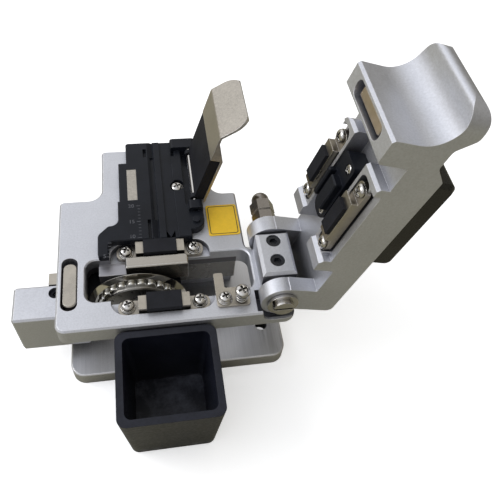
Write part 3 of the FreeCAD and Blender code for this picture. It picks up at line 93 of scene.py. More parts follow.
class Net:
    # the few calls that build the nodes of a material or of the sky
    def __init__(self, tree):
        self.tree = tree

    def feed(self, socket, value):
        if isinstance(value, Wire):
            self.tree.links.new(value.socket, socket)
        elif value is not None:
            socket.default_value = value

    def add(self, kind, settings=None, sockets=None, output=0):
        node = self.tree.nodes.new(kind)
        for name, value in (settings or {}).items():
            setattr(node, name, value)
        for name, value in (sockets or {}).items():
            self.feed(node.inputs[name], value)
        return Wire(self, node.outputs[output])

    def maths(self, operation, first, second=None):
        return self.add("ShaderNodeMath", {"operation": operation}, {0: first, 1: second})

    def axes(self, vector):
        split = self.add("ShaderNodeSeparateXYZ", {}, {"Vector": vector})
        return [Wire(self, output) for output in split.socket.node.outputs]

    def limits(self, value, low, high, newLow=0.0, newHigh=1.0):
        return self.add("ShaderNodeMapRange", {}, {
            "Value": value, "From Min": low, "From Max": high, "To Min": newLow,
            "To Max": newHigh})

    def mix(self, share, first, second):
        # inputs 6 and 7 and output 2 are the colours of the node
        node = self.add("ShaderNodeMix", {"data_type": "RGBA"}, {"Factor": share}).socket.node
        for socket, value in ((node.inputs[6], first), (node.inputs[7], second)):
            self.feed(socket, (*value, 1) if isinstance(value, tuple) else value)
        return Wire(self, node.outputs[2])


class Finish(Net):
    # a material around Blender's own shader
    def __init__(self, name, look):
        self.material = bpy.data.materials.new(name)
        self.material.use_nodes = True
        super().__init__(self.material.node_tree)
        self.look = look
        self.inputs = self.tree.nodes["Principled BSDF"].inputs
        self.inputs["Base Color"].default_value = (*look["color"], 1)
        self.inputs["Roughness"].default_value = look["roughness"]
        self.inputs["Metallic"].default_value = look["metallic"]
        self.inputs["Specular IOR Level"].default_value = look.get("specular", 0.5)

    def place(self):
        return self.add("ShaderNodeTexCoord", output=3)

    def stretched(self, scale):
        return self.add("ShaderNodeMapping", {}, {"Vector": self.place(), "Scale": scale})

    def noise(self, scale, detail=3, roughness=0.6, vector=None):
        return self.add("ShaderNodeTexNoise", {}, {
            "Vector": vector or self.place(), "Scale": scale, "Detail": detail,
            "Roughness": roughness})

    def tinted(self, share):
        # the finish's own colour, darker or paler
        return tuple(part * share for part in self.look["color"])

    def open(self, reach):
        # ambient occlusion: high on open faces, low within reach of other walls, used to paint shade into hollows
        return self.add("ShaderNodeAmbientOcclusion", {"samples": 6}, {"Distance": reach},
                        output=1)

    def rounded(self, width):
        return self.add("ShaderNodeBevel", {"samples": 4}, {"Radius": width})

    def edgeMask(self):
        # a mask where the surface turns over an edge: the metals paint a highlight there, partly worn bright
        # chamfers, and the black coat shows its worn edges there
        flat = self.add("ShaderNodeNewGeometry", output=1)
        turned = self.add("ShaderNodeVectorMath", {"operation": "DOT_PRODUCT"},
                          {0: self.rounded(self.look["edgeWidth"]), 1: flat}, output=1)
        return self.limits(turned, *edgeSpan) * self.look["edgeShare"]

    def color(self, value):
        self.feed(self.inputs["Base Color"], value)

    def gloss(self, pattern):
        # roughness that goes up and down with a pattern
        low, high = self.look["gloss"]
        middle = self.look["roughness"]
        self.feed(self.inputs["Roughness"],
                  self.limits(pattern, *noiseSpan, middle + low, middle + high))

    def relief(self, height):
        # bump, over softly rounded edges where the look has them
        sockets = {"Height": height, "Strength": self.look["relief"],
                   "Distance": self.look["depth"]}
        if "edgeWidth" in self.look:
            sockets["Normal"] = self.rounded(self.look["edgeWidth"])
        self.feed(self.inputs["Normal"], self.add("ShaderNodeBump", {}, sockets))

    def metal(self, pattern, glossPattern, reliefPattern, slotShade=None):
        # what the metals share: pattern, painted shade in hollows, painted highlights on edges (partly worn bright
        # chamfers), gloss and relief
        look = self.look
        body = self.mix(self.limits(pattern, *look["shade"]), self.tinted(look["dark"]),
                        look["color"])
        # painted shade: the colour darkens towards the hollow colour where other walls are near
        hollows = self.limits(self.open(look["hollowReach"]), *look["hollowSpan"])
        body = self.mix(hollows, look["hollowShade"], body)
        # painted shade on the walls in the wheel's slot
        if slotShade:
            body = self.mix(slotShade, body, look["slotWallShade"])
        # painted highlight along edges, partly worn bright chamfers
        self.color(self.mix(self.edgeMask(), body, look["edge"]))
        self.gloss(glossPattern)
        self.relief(reliefPattern)
        return self.material


satin = {
    "color": (0.635, 0.645, 0.685), "roughness": 0.46, "metallic": 0.9, "gloss": (-0.05, 0.07),
    # edge: colour of the painted highlight along edges, partly worn bright chamfers
    "edge": (0.88, 0.88, 0.90), "edgeWidth": 0.16 * mm, "edgeShare": 0.75,
    "grain": (2700, 2, 0.5), "cloud": (90, 4, 0.55), "grainShare": 0.65, "cloudShare": 0.35,
    "shade": (0.36, 0.64), "dark": 0.85, "relief": 0.4, "depth": 0.02 * mm,
    # hollow colour, reach and span: painted shade in recesses
    "hollowShade": (0.18, 0.18, 0.205), "hollowReach": 12 * mm, "hollowSpan": (0.12, 0.5),
    "slot": (-19 * mm, 18.6 * mm, -4.2 * mm, 6 * mm, 24 * mm),  # left, right, front, back, top
    # colour and share of the painted shade on the slot's walls
    "slotWallShade": (0.09, 0.085, 0.095), "slotShare": 0.85,
}


def blastedAluminium(name, look):
    # silver anodised, bead blasted: fine grain, and painted shade on the walls in the wheel's slot, standing in
    # for the dark things they reflect
    net = Finish(name, look)
    cloud = net.noise(*look["cloud"])
    grain = net.noise(*look["grain"])
    x, y, z = net.axes(net.place())
    left, right, front, back, top = look["slot"]
    within = (x > left) * (x < right) * (y > front) * (y < back) * (z < top)
    pattern = cloud * look["cloudShare"] + grain * look["grainShare"]
    return net.metal(pattern, grain, grain, within * look["slotShare"])


brushedBase = {
    "color": (0.70, 0.70, 0.72), "roughness": 0.42, "metallic": 0.9, "gloss": (-0.08, 0.1),
    "edge": (0.88, 0.88, 0.88), "edgeWidth": 0.2 * mm, "edgeShare": 0.7,
    "across": 4200, "along": 70, "cloud": 120, "lineShare": 0.75, "cloudShare": 0.25,
    "shade": (0.35, 0.65), "dark": 0.86, "relief": 0.2, "depth": 0.01 * mm,
    # hollow colour, reach and span: painted shade in recesses
    "hollowShade": (0.10, 0.10, 0.11), "hollowReach": 14 * mm, "hollowSpan": (0.15, 0.6),
}


def brushedAluminium(name, look, direction="y"):
    # straight fine brush lines
    net = Finish(name, look)
    scale = [look["along"] if axis == direction else look["across"] for axis in "xyz"]
    lines = net.noise(1, vector=net.stretched(scale))
    cloud = net.noise(look["cloud"])
    pattern = lines * look["lineShare"] + cloud * look["cloudShare"]
    return net.metal(pattern, lines, lines)


nickelPlate = {
    "color": (0.49, 0.45, 0.385), "roughness": 0.30, "metallic": 1.0, "gloss": (-0.08, 0.12),
    "edge": (0.86, 0.83, 0.77), "edgeWidth": 0.12 * mm, "edgeShare": 0.7,
    "spots": 900, "smear": 220, "spotShare": 0.5, "smearShare": 0.5,
    "shade": (0.35, 0.65), "dark": 0.82, "relief": 0.18, "depth": 0.01 * mm,
    # hollow colour, reach and span: painted shade in recesses
    "hollowShade": (0.16, 0.15, 0.14), "hollowReach": 1.6 * mm, "hollowSpan": (0.15, 0.75),
}


def platedMetal(name, look):
    # nickel plate, a little mottled and smeared
    net = Finish(name, look)
    spots = net.noise(look["spots"], 5, 0.65)
    smear = net.noise(look["smear"], 4)
    pattern = spots * look["spotShare"] + smear * look["smearShare"]
    return net.metal(pattern, smear, spots)


blackAnodised = {
    "color": (0.0055, 0.0065, 0.0095), "roughness": 0.40, "metallic": 0.0, "specular": 0.2,
    "gloss": (-0.06, 0.1), "edge": (0.075, 0.08, 0.095), "edgeWidth": 0.09 * mm,
    "edgeShare": 0.7, "grain": 4200, "cloud": 160, "cloudShare": 0.6, "grainShare": 0.4,
    "shade": (0.35, 0.7), "wear": (0.35, 0.6), "pale": 1.9, "relief": 0.25, "depth": 0.015 * mm,
}


def darkAnodised(name, look):
    # matte black hard coat with slightly worn edges
    net = Finish(name, look)
    grain = net.noise(look["grain"])
    cloud = net.noise(look["cloud"], 4)
    pattern = cloud * look["cloudShare"] + grain * look["grainShare"]
    body = net.mix(net.limits(pattern, *look["shade"]), look["color"], net.tinted(look["pale"]))
    net.color(net.mix(net.edgeMask() * net.limits(cloud, *look["wear"]), body, look["edge"]))
    net.gloss(grain)
    net.relief(grain)
    return net.material


padRubber = {
    "color": (0.0075, 0.008, 0.011), "roughness": 0.62, "metallic": 0.0, "specular": 0.2,
    "gloss": (-0.07, 0.09), "grain": 2600, "dust": 140, "dustShare": 0.6, "grainShare": 0.4,
    "shade": (0.42, 0.75), "pale": 2.1, "lift": 0.004, "relief": 0.3, "depth": 0.02 * mm,
    "edgeWidth": 0.15 * mm,
}


def blackRubber(name, look, dustBelow=None):
    # moulded rubber and plastic: fine pits, dusty in places
    net = Finish(name, look)
    grain = net.noise(look["grain"], 4)
    dust = net.noise(look["dust"], 5)
    pale = tuple(part + look["lift"] for part in net.tinted(look["pale"]))
    pattern = dust * look["dustShare"] + grain * look["grainShare"]
    body = net.mix(net.limits(pattern, *look["shade"]), look["color"], pale)
    if dustBelow:
        height = net.axes(net.place())[2]
        patches = net.limits(net.noise(*look["patches"]), *look["patchSpan"])
        body = net.mix(patches * (height < dustBelow) * look["patchShare"], body, look["dusty"])
    net.color(body)
    net.gloss(grain)
    net.relief(grain)
    return net.material


axisOfWheel = Vector(joints["wheel_turn"]["pos_m"])
bladeSteel = {
    "color": (0.50, 0.48, 0.43), "bevel": (0.72, 0.69, 0.62), "roughness": 0.09, "metallic": 1.0,
    "gloss": (-0.03, 0.05), "rings": 10400, "bevelFrom": 10.4 * mm, "smear": 260,
    "ringShare": 0.3, "shade": (0.2, 0.8), "dark": 0.8, "ringRelief": 0.4, "relief": 0.06,
    "depth": 0.01 * mm,
}


def groundBlade(name, look):
    # rings left by grinding, and a brighter cutting bevel
    net = Finish(name, look)
    x, _, z = net.axes(net.place())
    radius = net.maths("SQRT", (x - axisOfWheel.x) ** 2 + (z - axisOfWheel.z) ** 2)
    rings = net.maths("SINE", radius * look["rings"])
    smear = net.noise(look["smear"], 4)
    shade = net.limits(rings * look["ringShare"] + smear, *look["shade"])
    body = net.mix(shade, net.tinted(look["dark"]), look["color"])
    net.color(net.mix(radius > look["bevelFrom"], body, look["bevel"]))
    net.gloss(smear)
    net.relief(rings * look["ringRelief"] + smear)
    return net.material


labelLook = {
    "color": (0.74, 0.47, 0.022), "roughness": 0.38, "metallic": 0.0, "gloss": (0.0, 0.1),
    "line": (0.02, 0.018, 0.015), "lineFrom": 0.42 * mm, "lineTo": 0.62 * mm,
    "frameRound": 1.1 * mm, "grain": 900, "pale": 1.12, "relief": 0.1, "depth": 0.01 * mm,
}


def yellowLabel(name, look):
    # plain yellow film with a thin dark frame line
    net = Finish(name, look)
    low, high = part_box("label_plate")
    centre = (low + high) / 2
    half = (high - low) / 2
    x, y, _ = net.axes(net.place())
    bend = look["frameRound"]
    overX = net.maths("MAXIMUM", net.maths("ABSOLUTE", x - centre.x) - (half.x - bend), 0)
    overY = net.maths("MAXIMUM", net.maths("ABSOLUTE", y - centre.y) - (half.y - bend), 0)
    inset = bend - net.maths("SQRT", overX ** 2 + overY ** 2)
    line = (inset > look["lineFrom"]) * (inset < look["lineTo"])
    grain = net.noise(look["grain"])
    film = net.mix(net.limits(grain, *noiseSpan), look["color"], net.tinted(look["pale"]))
    net.color(net.mix(line, film, look["line"]))
    net.gloss(grain)
    net.relief(grain)
    return net.material


markLook = {"color": (0.13, 0.135, 0.15), "roughness": 0.5, "metallic": 0.0, "specular": 0.2,
            "gloss": (-0.1, 0.1), "wear": 2600, "shade": (0.35, 0.6), "faint": 0.55}
inkLook = dict(markLook, color=(0.02, 0.018, 0.016))


def filledMark(name, look):
    # thin engraved marks, unevenly filled
    net = Finish(name, look)
    wear = net.noise(look["wear"], 4)
    net.color(net.mix(net.limits(wear, *look["shade"]), net.tinted(look["faint"]),
                      look["color"]))
    net.gloss(wear)
    return net.material


# the hollow colours and reaches given below set painted shade in recesses
brightSteel = dict(nickelPlate, color=(0.62, 0.60, 0.57), roughness=0.11, spots=1800,
                   hollowShade=(0.06, 0.055, 0.05), hollowReach=1.4 * mm)
nutNickel = dict(nickelPlate, color=(0.31, 0.285, 0.26), roughness=0.2)
toothSteel = dict(nickelPlate, color=(0.80, 0.79, 0.76), roughness=0.16, spots=2400,
                  hollowShade=(0.10, 0.10, 0.10), hollowReach=2.2 * mm)
# darker than plain steel, with painted shade reaching far: painted reflection of the dark holder that the disc
# faces
discSteel = dict(nickelPlate, color=(0.32, 0.31, 0.29), roughness=0.28,
                 hollowShade=(0.07, 0.065, 0.06), hollowReach=7 * mm)
goldMagnet = dict(nickelPlate, color=(0.60, 0.50, 0.40), roughness=0.3)
oxideBlack = dict(blackAnodised, roughness=0.28, specular=0.4)
sandSheet = dict(brushedBase, color=(0.50, 0.465, 0.41), roughness=0.36, across=2300, along=2300,
                 dark=0.72, relief=0.3, hollowShade=(0.30, 0.28, 0.25), hollowReach=2 * mm)
greyBlock = dict(sandSheet, color=(0.36, 0.355, 0.38), across=3000, along=120, dark=0.93,
                 relief=0.1)
barSteel = dict(sandSheet, color=(0.45, 0.42, 0.375), roughness=0.16, across=3200, along=90,
                dark=0.93, relief=0.1, hollowShade=(0.07, 0.06, 0.055), hollowReach=9 * mm)
binPlastic = dict(padRubber, color=(0.006, 0.007, 0.013), roughness=0.36, specular=0.3,
                  grain=1500, dusty=(0.17, 0.18, 0.22), patches=(170, 6, 0.7),
                  patchSpan=(0.45, 0.72), patchShare=0.55, floorUpTo=2.6 * mm)
coverPlastic = dict(padRubber, color=(0.012, 0.011, 0.008), roughness=0.3, specular=0.3,
                    grain=2400)

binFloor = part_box("scrap_bin")[0].z + binPlastic["floorUpTo"]
silver = blastedAluminium("silver blasted aluminium", satin)
brushed = brushedAluminium("brushed base", brushedBase)
black = darkAnodised("black anodised", blackAnodised)
nickel = platedMetal("nickel plate", nickelPlate)
bright = platedMetal("bright screw steel", brightSteel)
sheetMetal = brushedAluminium("satin lever sheet", sandSheet)
block = brushedAluminium("grey side block", greyBlock, "x")
bar = brushedAluminium("brushed clamp bar", barSteel, "x")
paleMagnet = platedMetal("pale magnet", goldMagnet)
rubber = blackRubber("black rubber", padRubber)
plastic = blackRubber("black bin plastic", binPlastic, binFloor)
shell = blackRubber("black cover plastic", coverPlastic)
taupe = platedMetal("brown nickel nuts", nutNickel)
teeth = platedMetal("bright ratchet teeth", toothSteel)
disc = platedMetal("numbered disc", discSteel)
oxide = darkAnodised("black oxide screws", oxideBlack)
blade = groundBlade("ground blade", bladeSteel)
label = yellowLabel("yellow label", labelLook)
paint = filledMark("scale marks", markLook)
ink = filledMark("disc numbers", inkLook)
print("finishes made")

finishOf = (
    (silver, ["support_block", "hinge_post", "body_deck", "arm_body", "thumb_bar"]),
    (brushed, ["base_plate"]),
    (black, ["anvil", "thumb_screw", "carriage", "fibre_adapter", "stop_pin"]),
    (paleMagnet, ["arm_magnet"]),
    (block, ["side_block"]),
    (bar, ["clamp_bar"]),
    (nickel, ["deck_magnet", "upper_holder_front", "upper_holder_rear", "lower_holder_front",
              "lower_holder_rear", "slide_tab", "pawl_bracket"]),
    (disc, ["number_disc", "guide_rail"]),
    (taupe, ["dome_nut", "lock_nut"]),
    (teeth, ["ratchet_ring"]),
    (oxide, ["hinge_set_screws"]),
    (bright, ["hinge_shaft", "front_washer", "nut_washer", "anvil_screws", "upper_screws",
              "lower_screws", "lower_washers", "wheel_axle", "adapter_screw", "lever_pin",
              "bracket_washer", "bracket_screw", "spring_screw", "pawl_spring"]),
    (sheetMetal, ["adapter_insert", "lever_sheet"]),
    (rubber, ["upper_pad_front", "upper_pad_rear", "lower_pad_front", "lower_pad_rear",
              "lever_pad"]),
    (plastic, ["scrap_bin"]),
    (shell, ["arm_cover"]),
    (blade, ["blade_wheel"]),
    (label, ["label_plate"]),
)
for material, names in finishOf:
    for name in names:
        mesh = nodes[name].data
        mesh.materials.clear()
        mesh.materials.append(material)


# Pieces shaped here: each takes its place from the solids that it stands for
def solidsOf(node):
    # corner points of every separate solid in a node
    build = bmesh.new()
    build.from_mesh(nodes[node].data)
    bmesh.ops.remove_doubles(build, verts=build.verts, dist=0.001 * mm)
    build.verts.ensure_lookup_table()
    seen = set()
    groups = []
    for first in build.verts:
        if first.index in seen:
            continue
        seen.add(first.index)
        waiting = [first]
        points = []
        while waiting:
            vert = waiting.pop()
            points.append(vert.co.copy())
            for edge in vert.link_edges:
                other = edge.other_vert(vert)
                if other.index not in seen:
                    seen.add(other.index)
                    waiting.append(other)
        groups.append(points)
    build.free()
    return sorted(groups, key=lambda points: tuple(round(part, 5) for part in points[0]))


def spanOf(points, way):
    # lowest and highest place of some points along a direction
    values = [point.dot(way) for point in points]
    return min(values), max(values)


def seatOf(points, axis, headShare=0.9):
    # middle line and outer radius of a turned solid, with its foot, its head's seat and its top
    sideways = axis.orthogonal().normalized()
    across = axis.cross(sideways)
    middle = sum((way * sum(spanOf(points, way)) / 2 for way in (sideways, across)), Vector())
    reach = [(point - axis * point.dot(axis) - middle).length for point in points]
    radius = max(reach)
    seat = min(point.dot(axis) for point, out in zip(points, reach) if out > radius * headShare)
    low, high = spanOf(points, axis)
    return middle, radius, low, seat, high


def meshFrom(build, name):
    # closes a bmesh into a mesh with its faces turned outwards
    bmesh.ops.recalc_face_normals(build, faces=build.faces)
    mesh = bpy.data.meshes.new(name)
    build.to_mesh(mesh)
    build.free()
    return mesh


def banded(build, loops, capped=False):
    # bands of faces between closed loops of corners, with the two ends closed if asked
    if capped:
        build.faces.new(loops[0])
        build.faces.new(loops[-1])
    for near, far in zip(loops, loops[1:]):
        for i in range(len(near)):
            j = (i + 1) % len(near)
            build.faces.new((near[i], near[j], far[j], far[i]))


def around(radius, turn, height=0.0):
    # a point on a circle about Z
    return radius * math.cos(turn), radius * math.sin(turn), height


def inScene(name, data):
    # a new object in the scene
    thing = bpy.data.objects.new(name, data)
    scene.collection.objects.link(thing)
    return thing


def workedOut(thing):
    # the mesh of an object once its modifier or its lettering is applied
    bpy.context.view_layer.update()
    return bpy.data.meshes.new_from_object(
        thing.evaluated_get(bpy.context.evaluated_depsgraph_get()))


def turnedForm(profile, count):
    # a form turned about Z from its profile of radius and height
    build = bmesh.new()
    rings = [[build.verts.new(around(radius, math.tau * i / count, height))
              for i in range(count if radius else 1)] for radius, height in profile]
    for lower, upper in zip(rings, rings[1:]):
        for i in range(count):
            j = (i + 1) % count
            corners = [lower[i % len(lower)], lower[j % len(lower)],
                       upper[j % len(upper)], upper[i % len(upper)]]
            build.faces.new(list(dict.fromkeys(corners)))
    return meshFrom(build, "turned")


def carved(mesh, cutter):
    # one mesh less another
    whole, less = inScene("whole", mesh), inScene("cutter", cutter)
    carve = whole.modifiers.new("carve", "BOOLEAN")
    carve.operation = "DIFFERENCE"
    carve.solver = "EXACT"
    carve.object = less
    result = workedOut(whole)
    for thing in (whole, less):
        bpy.data.objects.remove(thing)
    return result


def shown(name, parts, body, material, stands=(), soft=0.6):
    # joins placed meshes into one piece that rides on a body
    build = bmesh.new()
    for mesh, matrix in parts:
        count = len(build.verts)
        build.from_mesh(mesh)
        build.verts.ensure_lookup_table()
        bmesh.ops.transform(build, matrix=matrix, verts=build.verts[count:])
    whole = bpy.data.meshes.new(name)
    build.to_mesh(whole)
    build.free()
    whole.materials.clear()
    whole.materials.append(material)
    whole.shade_smooth()
    whole.set_sharp_from_angle(angle=soft)
    thing = inScene(name, whole)
    if stands:
        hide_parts(*stands)
    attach(thing, body)


def stood(middle, axis, low, turn=0.0):
    # places a form made about Z on a line, at a level and turned about it
    lean = upward.rotation_difference(axis).to_matrix().to_4x4()
    return Matrix.Translation(middle + axis * low) @ lean @ Matrix.Rotation(turn, 4, "Z")


crossScrew = {
    "around": 48, "rim": 0.34, "steps": 7, "flat": 0.30, "reach": 0.70, "half": 0.17,
    "deep": 0.66, "taper": 0.6, "point": 0.25 * mm, "under": 0.94, "lip": 0.1, "above": 1.1,
    "firstTurn": 0.35, "nextTurn": 0.9,
}


def crossScrewMesh(look, radius, head, shank, length):
    # pan head with a cross recess, and a plain shank with a pointed end
    profile = [(0, -length), (shank - look["point"], -length), (shank, look["point"] - length),
               (shank, 0), (radius * look["under"], 0), (radius, head * look["lip"]),
               (radius, head * look["rim"])]
    for i in range(1, look["steps"] + 1):
        turn = math.pi / 2 * i / look["steps"]
        reach = radius * (look["flat"] + (1 - look["flat"]) * math.cos(turn))
        profile.append((reach, head * (look["rim"] + (1 - look["rim"]) * math.sin(turn))))
    profile.append((0, head))
    reach, half = radius * look["reach"], radius * look["half"]
    outline = [(half, half), (reach, half), (reach, -half), (half, -half), (half, -reach),
               (-half, -reach), (-half, -half), (-reach, -half), (-reach, half), (-half, half),
               (-half, reach), (half, reach)]
    build = bmesh.new()
    levels = ((head * (1 - look["deep"]), look["taper"]), (head * look["above"], 1.0))
    loops = [[build.verts.new((x * share, y * share, height)) for x, y in outline]
             for height, share in levels]
    banded(build, loops, capped=True)
    return carved(turnedForm(profile, look["around"]), meshFrom(build, "cross"))


armTurn = math.radians(105.5)  # the open arm's angle from where it lies closed
outOfArm = Vector((-math.sin(armTurn), 0, -math.cos(armTurn)))
screwSets = {  # the screws' node, the way their heads face and the shank's radius
    "lower_cross_screws": ("lower_screws", upward, 0.6 * mm),
    "bracket_cross_screw": ("bracket_screw", upward, 0.6 * mm),
    "spring_cross_screw": ("spring_screw", upward, 0.6 * mm),
    "adapter_cross_screw": ("adapter_screw", upward, 0.6 * mm),
    "upper_cross_screws": ("upper_screws", outOfArm, 0.6 * mm),
    "anvil_cross_screws": ("anvil_screws", outOfArm, 0.4 * mm),
}
for name, (node, axis, shank) in screwSets.items():
    parts = []
    for i, points in enumerate(solidsOf(node)):
        middle, radius, low, seat, high = seatOf(points, axis)
        mesh = crossScrewMesh(crossScrew, radius, high - seat, min(shank, radius / 2), seat - low)
        turn = crossScrew["firstTurn"] + crossScrew["nextTurn"] * i
        parts.append((mesh, stood(middle, axis, seat, turn)))
    shown(name, parts, bodyOf[node], bright, [node])
print("cross screws made")

washerLook = {
    "around": 48, "flatShare": 0.45, "splitTo": 0.85, "inset": 0.86, "gap": 7, "rise": 0.35,
    "bore": 0.85 * mm, "chamfer": 0.12, "firstTurn": 2.0, "nextTurn": 1.3,
}


def ringMesh(look, outer, low, high, gap=0):
    # a washer with broken edges, split where a gap is asked for
    count, inner = look["around"], look["bore"]
    chamfer = (outer - inner) * look["chamfer"]
    section = [(inner, low), (outer - chamfer, low), (outer, low + chamfer),
               (outer, high - chamfer), (outer - chamfer, high), (inner, high)]
    build = bmesh.new()
    loops = []
    for i in range(count + (1 if gap else 0)):
        turn = math.tau * (i + gap / 2) / (count + gap)
        rise = (high - low) * look["rise"] * i / count if gap else 0
        loops.append([build.verts.new(around(r, turn, z + rise)) for r, z in section])
    banded(build, loops if gap else loops + loops[:1], capped=bool(gap))
    return meshFrom(build, "ring")


for name, node in (("lower_split_washers", "lower_washers"),
                   ("bracket_split_washer", "bracket_washer")):
    parts = []
    for i, points in enumerate(solidsOf(node)):
        middle, radius, low, _, high = seatOf(points, upward)
        thick = high - low
        level = thick * washerLook["flatShare"]
        flat = ringMesh(washerLook, radius, 0, level)
        split = ringMesh(washerLook, radius * washerLook["inset"], level,
                         thick * washerLook["splitTo"], washerLook["gap"])
        turn = washerLook["firstTurn"] + washerLook["nextTurn"] * i
        parts += [(flat, stood(middle, upward, low)), (split, stood(middle, upward, low, turn))]
    shown(name, parts, bodyOf[node], bright, [node])

coilLook = {"wire": 0.17 * mm, "turns": 3.6, "around": 12, "steps": 150, "closed": 0.12,
            "soft": 1.2}


def coilMesh(look, radius, length):
    # round wire wound about Z, its end turns closed
    build = bmesh.new()
    loops = []
    for i in range(look["steps"] + 1):
        share = i / look["steps"]
        eased = min(max((share - look["closed"]) / (1 - 2 * look["closed"]), 0), 1)
        outward = Vector(around(1, math.tau * look["turns"] * share))
        centre = outward * (radius - look["wire"])
        centre += upward * (look["wire"] + (length - 2 * look["wire"]) * eased)
        turns = [math.tau * j / look["around"] for j in range(look["around"])]
        loops.append([build.verts.new(centre + look["wire"] * (
            outward * math.cos(turn) + upward * math.sin(turn))) for turn in turns])
    banded(build, loops, capped=True)
    return meshFrom(build, "coil")


points = [point for group in solidsOf("pawl_spring") for point in group]
middle, radius, low, _, high = seatOf(points, upward)
coil = coilMesh(coilLook, radius, high - low)
shown("pawl_coil_spring", [(coil, stood(middle, upward, low))], bodyOf["pawl_spring"], bright,
      ["pawl_spring"], coilLook["soft"])
print("washers and spring made")

scallops = {"count": 24, "steps": 10, "deep": 1.05 * mm, "broken": 0.14 * mm, "sharp": 0.55}


def scallopedRing(look, inner, outer, thick):
    # a ring with rounded teeth about Z, its front face up
    count = look["count"] * look["steps"]
    build = bmesh.new()
    loops = []
    for i in range(count):
        turn = math.tau * i / count
        bite = abs(math.sin(turn * look["count"] / 2)) ** look["sharp"]
        reach = outer - look["deep"] * (1 - bite)
        section = [(inner, 0), (reach, 0), (reach, thick - look["broken"]),
                   (reach - look["broken"], thick), (inner, thick)]
        loops.append([build.verts.new(around(r, turn, z)) for r, z in section])
    banded(build, loops + loops[:1])
    return meshFrom(build, "scallops")


points = solidsOf("ratchet_ring")[0]
middle, radius, low, _, high = seatOf(points, toFront)
bore = min((point - toFront * point.dot(toFront) - middle).length for point in points)
ratchet = scallopedRing(scallops, bore, radius, high - low)
shown("ratchet_lug_ring", [(ratchet, stood(middle, toFront, low))], bodyOf["ratchet_ring"], teeth,
      ["ratchet_ring"])

barLook = {"narrow": 0.74, "short": 0.96, "sunk": 0.4 * mm, "corner": 0.45 * mm,
           "broken": 0.18 * mm, "steps": 5}


def softBlock(look, width, length, thick):
    # a block with rounded corners and a broken top edge
    build = bmesh.new()
    loops = []
    for inset, height in ((0, 0), (0, thick - look["broken"]), (look["broken"], thick)):
        loop = []
        for corner, (side, end) in enumerate(((1, 1), (-1, 1), (-1, -1), (1, -1))):
            centre = Vector((side * (width / 2 - look["corner"]),
                             end * (length / 2 - look["corner"]), height))
            for i in range(look["steps"] + 1):
                turn = math.pi / 2 * (corner + i / look["steps"])
                loop.append(build.verts.new(centre + Vector(around(look["corner"] - inset, turn))))
        loops.append(loop)
    banded(build, loops, capped=True)
    return meshFrom(build, "block")


armAxes = (toBack.cross(outOfArm), toBack, outOfArm)
(low, high), (front, back), (bottom, top) = [
    spanOf(solidsOf("arm_magnet")[0], way) for way in armAxes]
magnet = softBlock(barLook, (high - low) * barLook["narrow"], (back - front) * barLook["short"],
                   top - bottom - barLook["sunk"])
spot = armAxes[0] * (low + high) / 2 + armAxes[1] * (front + back) / 2 + outOfArm * bottom
lean = Matrix(armAxes).transposed().to_4x4()
shown("arm_bar_magnet", [(magnet, Matrix.Translation(spot) @ lean)], bodyOf["arm_magnet"],
      paleMagnet, ["arm_magnet"])
print("ratchet and magnet made")

numberLook = {"size": 1.5 * mm, "thick": 0.01 * mm}


def numeral(look, text):
    # a flat number lying in the XY plane
    curve = bpy.data.curves.new("numeral", "FONT")
    curve.body = text
    curve.size = look["size"]
    curve.align_x = "CENTER"
    curve.align_y = "CENTER"
    curve.extrude = look["thick"]
    holder = inScene("numeral", curve)
    mesh = workedOut(holder)
    bpy.data.objects.remove(holder)
    return mesh


scaleLook = {
    "line": 0.13 * mm, "high": 0.015 * mm, "taper": 0.8, "longer": 0.4 * mm, "longEvery": 5,
    "top": 28.95 * mm,  # the adapter's upper face
    "rows": (((-4.7, -4.1), range(10, 21)), ((-12.1, -11.3), range(5, 10))),
    "numbers": (("20", -6.3, 20.0), ("15", -6.3, 15.0), ("10", -6.3, 10.4), ("5", -12.9, 5.2)),
}


def strip(look, width):
    # a short raised line, tapered towards its top
    build = bmesh.new()
    loops = []
    for share, height in ((1.0, 0), (look["taper"], look["high"])):
        x, y = width / 2 * share, look["line"] / 2 * share
        loops.append([build.verts.new(corner + (height,))
                      for corner in ((-x, -y), (x, -y), (x, y), (-x, y))])
    banded(build, loops, capped=True)
    return meshFrom(build, "strip")


parts = []
for (start, end), marks in scaleLook["rows"]:
    for mark in marks:
        longer = 0 if mark % scaleLook["longEvery"] else scaleLook["longer"]
        middle = (start + end) / 2 * mm - longer / 2
        parts.append((strip(scaleLook, (end - start) * mm + longer),
                      Matrix.Translation((middle, mark * mm, scaleLook["top"]))))
for text, x, y in scaleLook["numbers"]:
    parts.append((numeral(numberLook, text),
                  Matrix.Translation((x * mm, y * mm, scaleLook["top"]))))
shown("cleave_length_scale", parts, bodyOf["fibre_adapter"], paint)

dialLook = {"count": 16, "inset": 1.35 * mm, "turn": 0.55}
middle, radius, _, _, high = seatOf(solidsOf("number_disc")[0], toFront)
parts = []
for i in range(dialLook["count"]):
    turn = math.tau * i / dialLook["count"] + dialLook["turn"]
    spot = Matrix.Translation(around(radius - dialLook["inset"], turn))
    facing = Matrix.Rotation(turn - math.pi / 2, 4, "Z")
    parts.append((numeral(numberLook, str(i + 1)),
                  stood(middle, toFront, high) @ spot @ facing))
shown("blade_dial_numbers", parts, bodyOf["number_disc"], ink)
print("scale and dial numbers made")

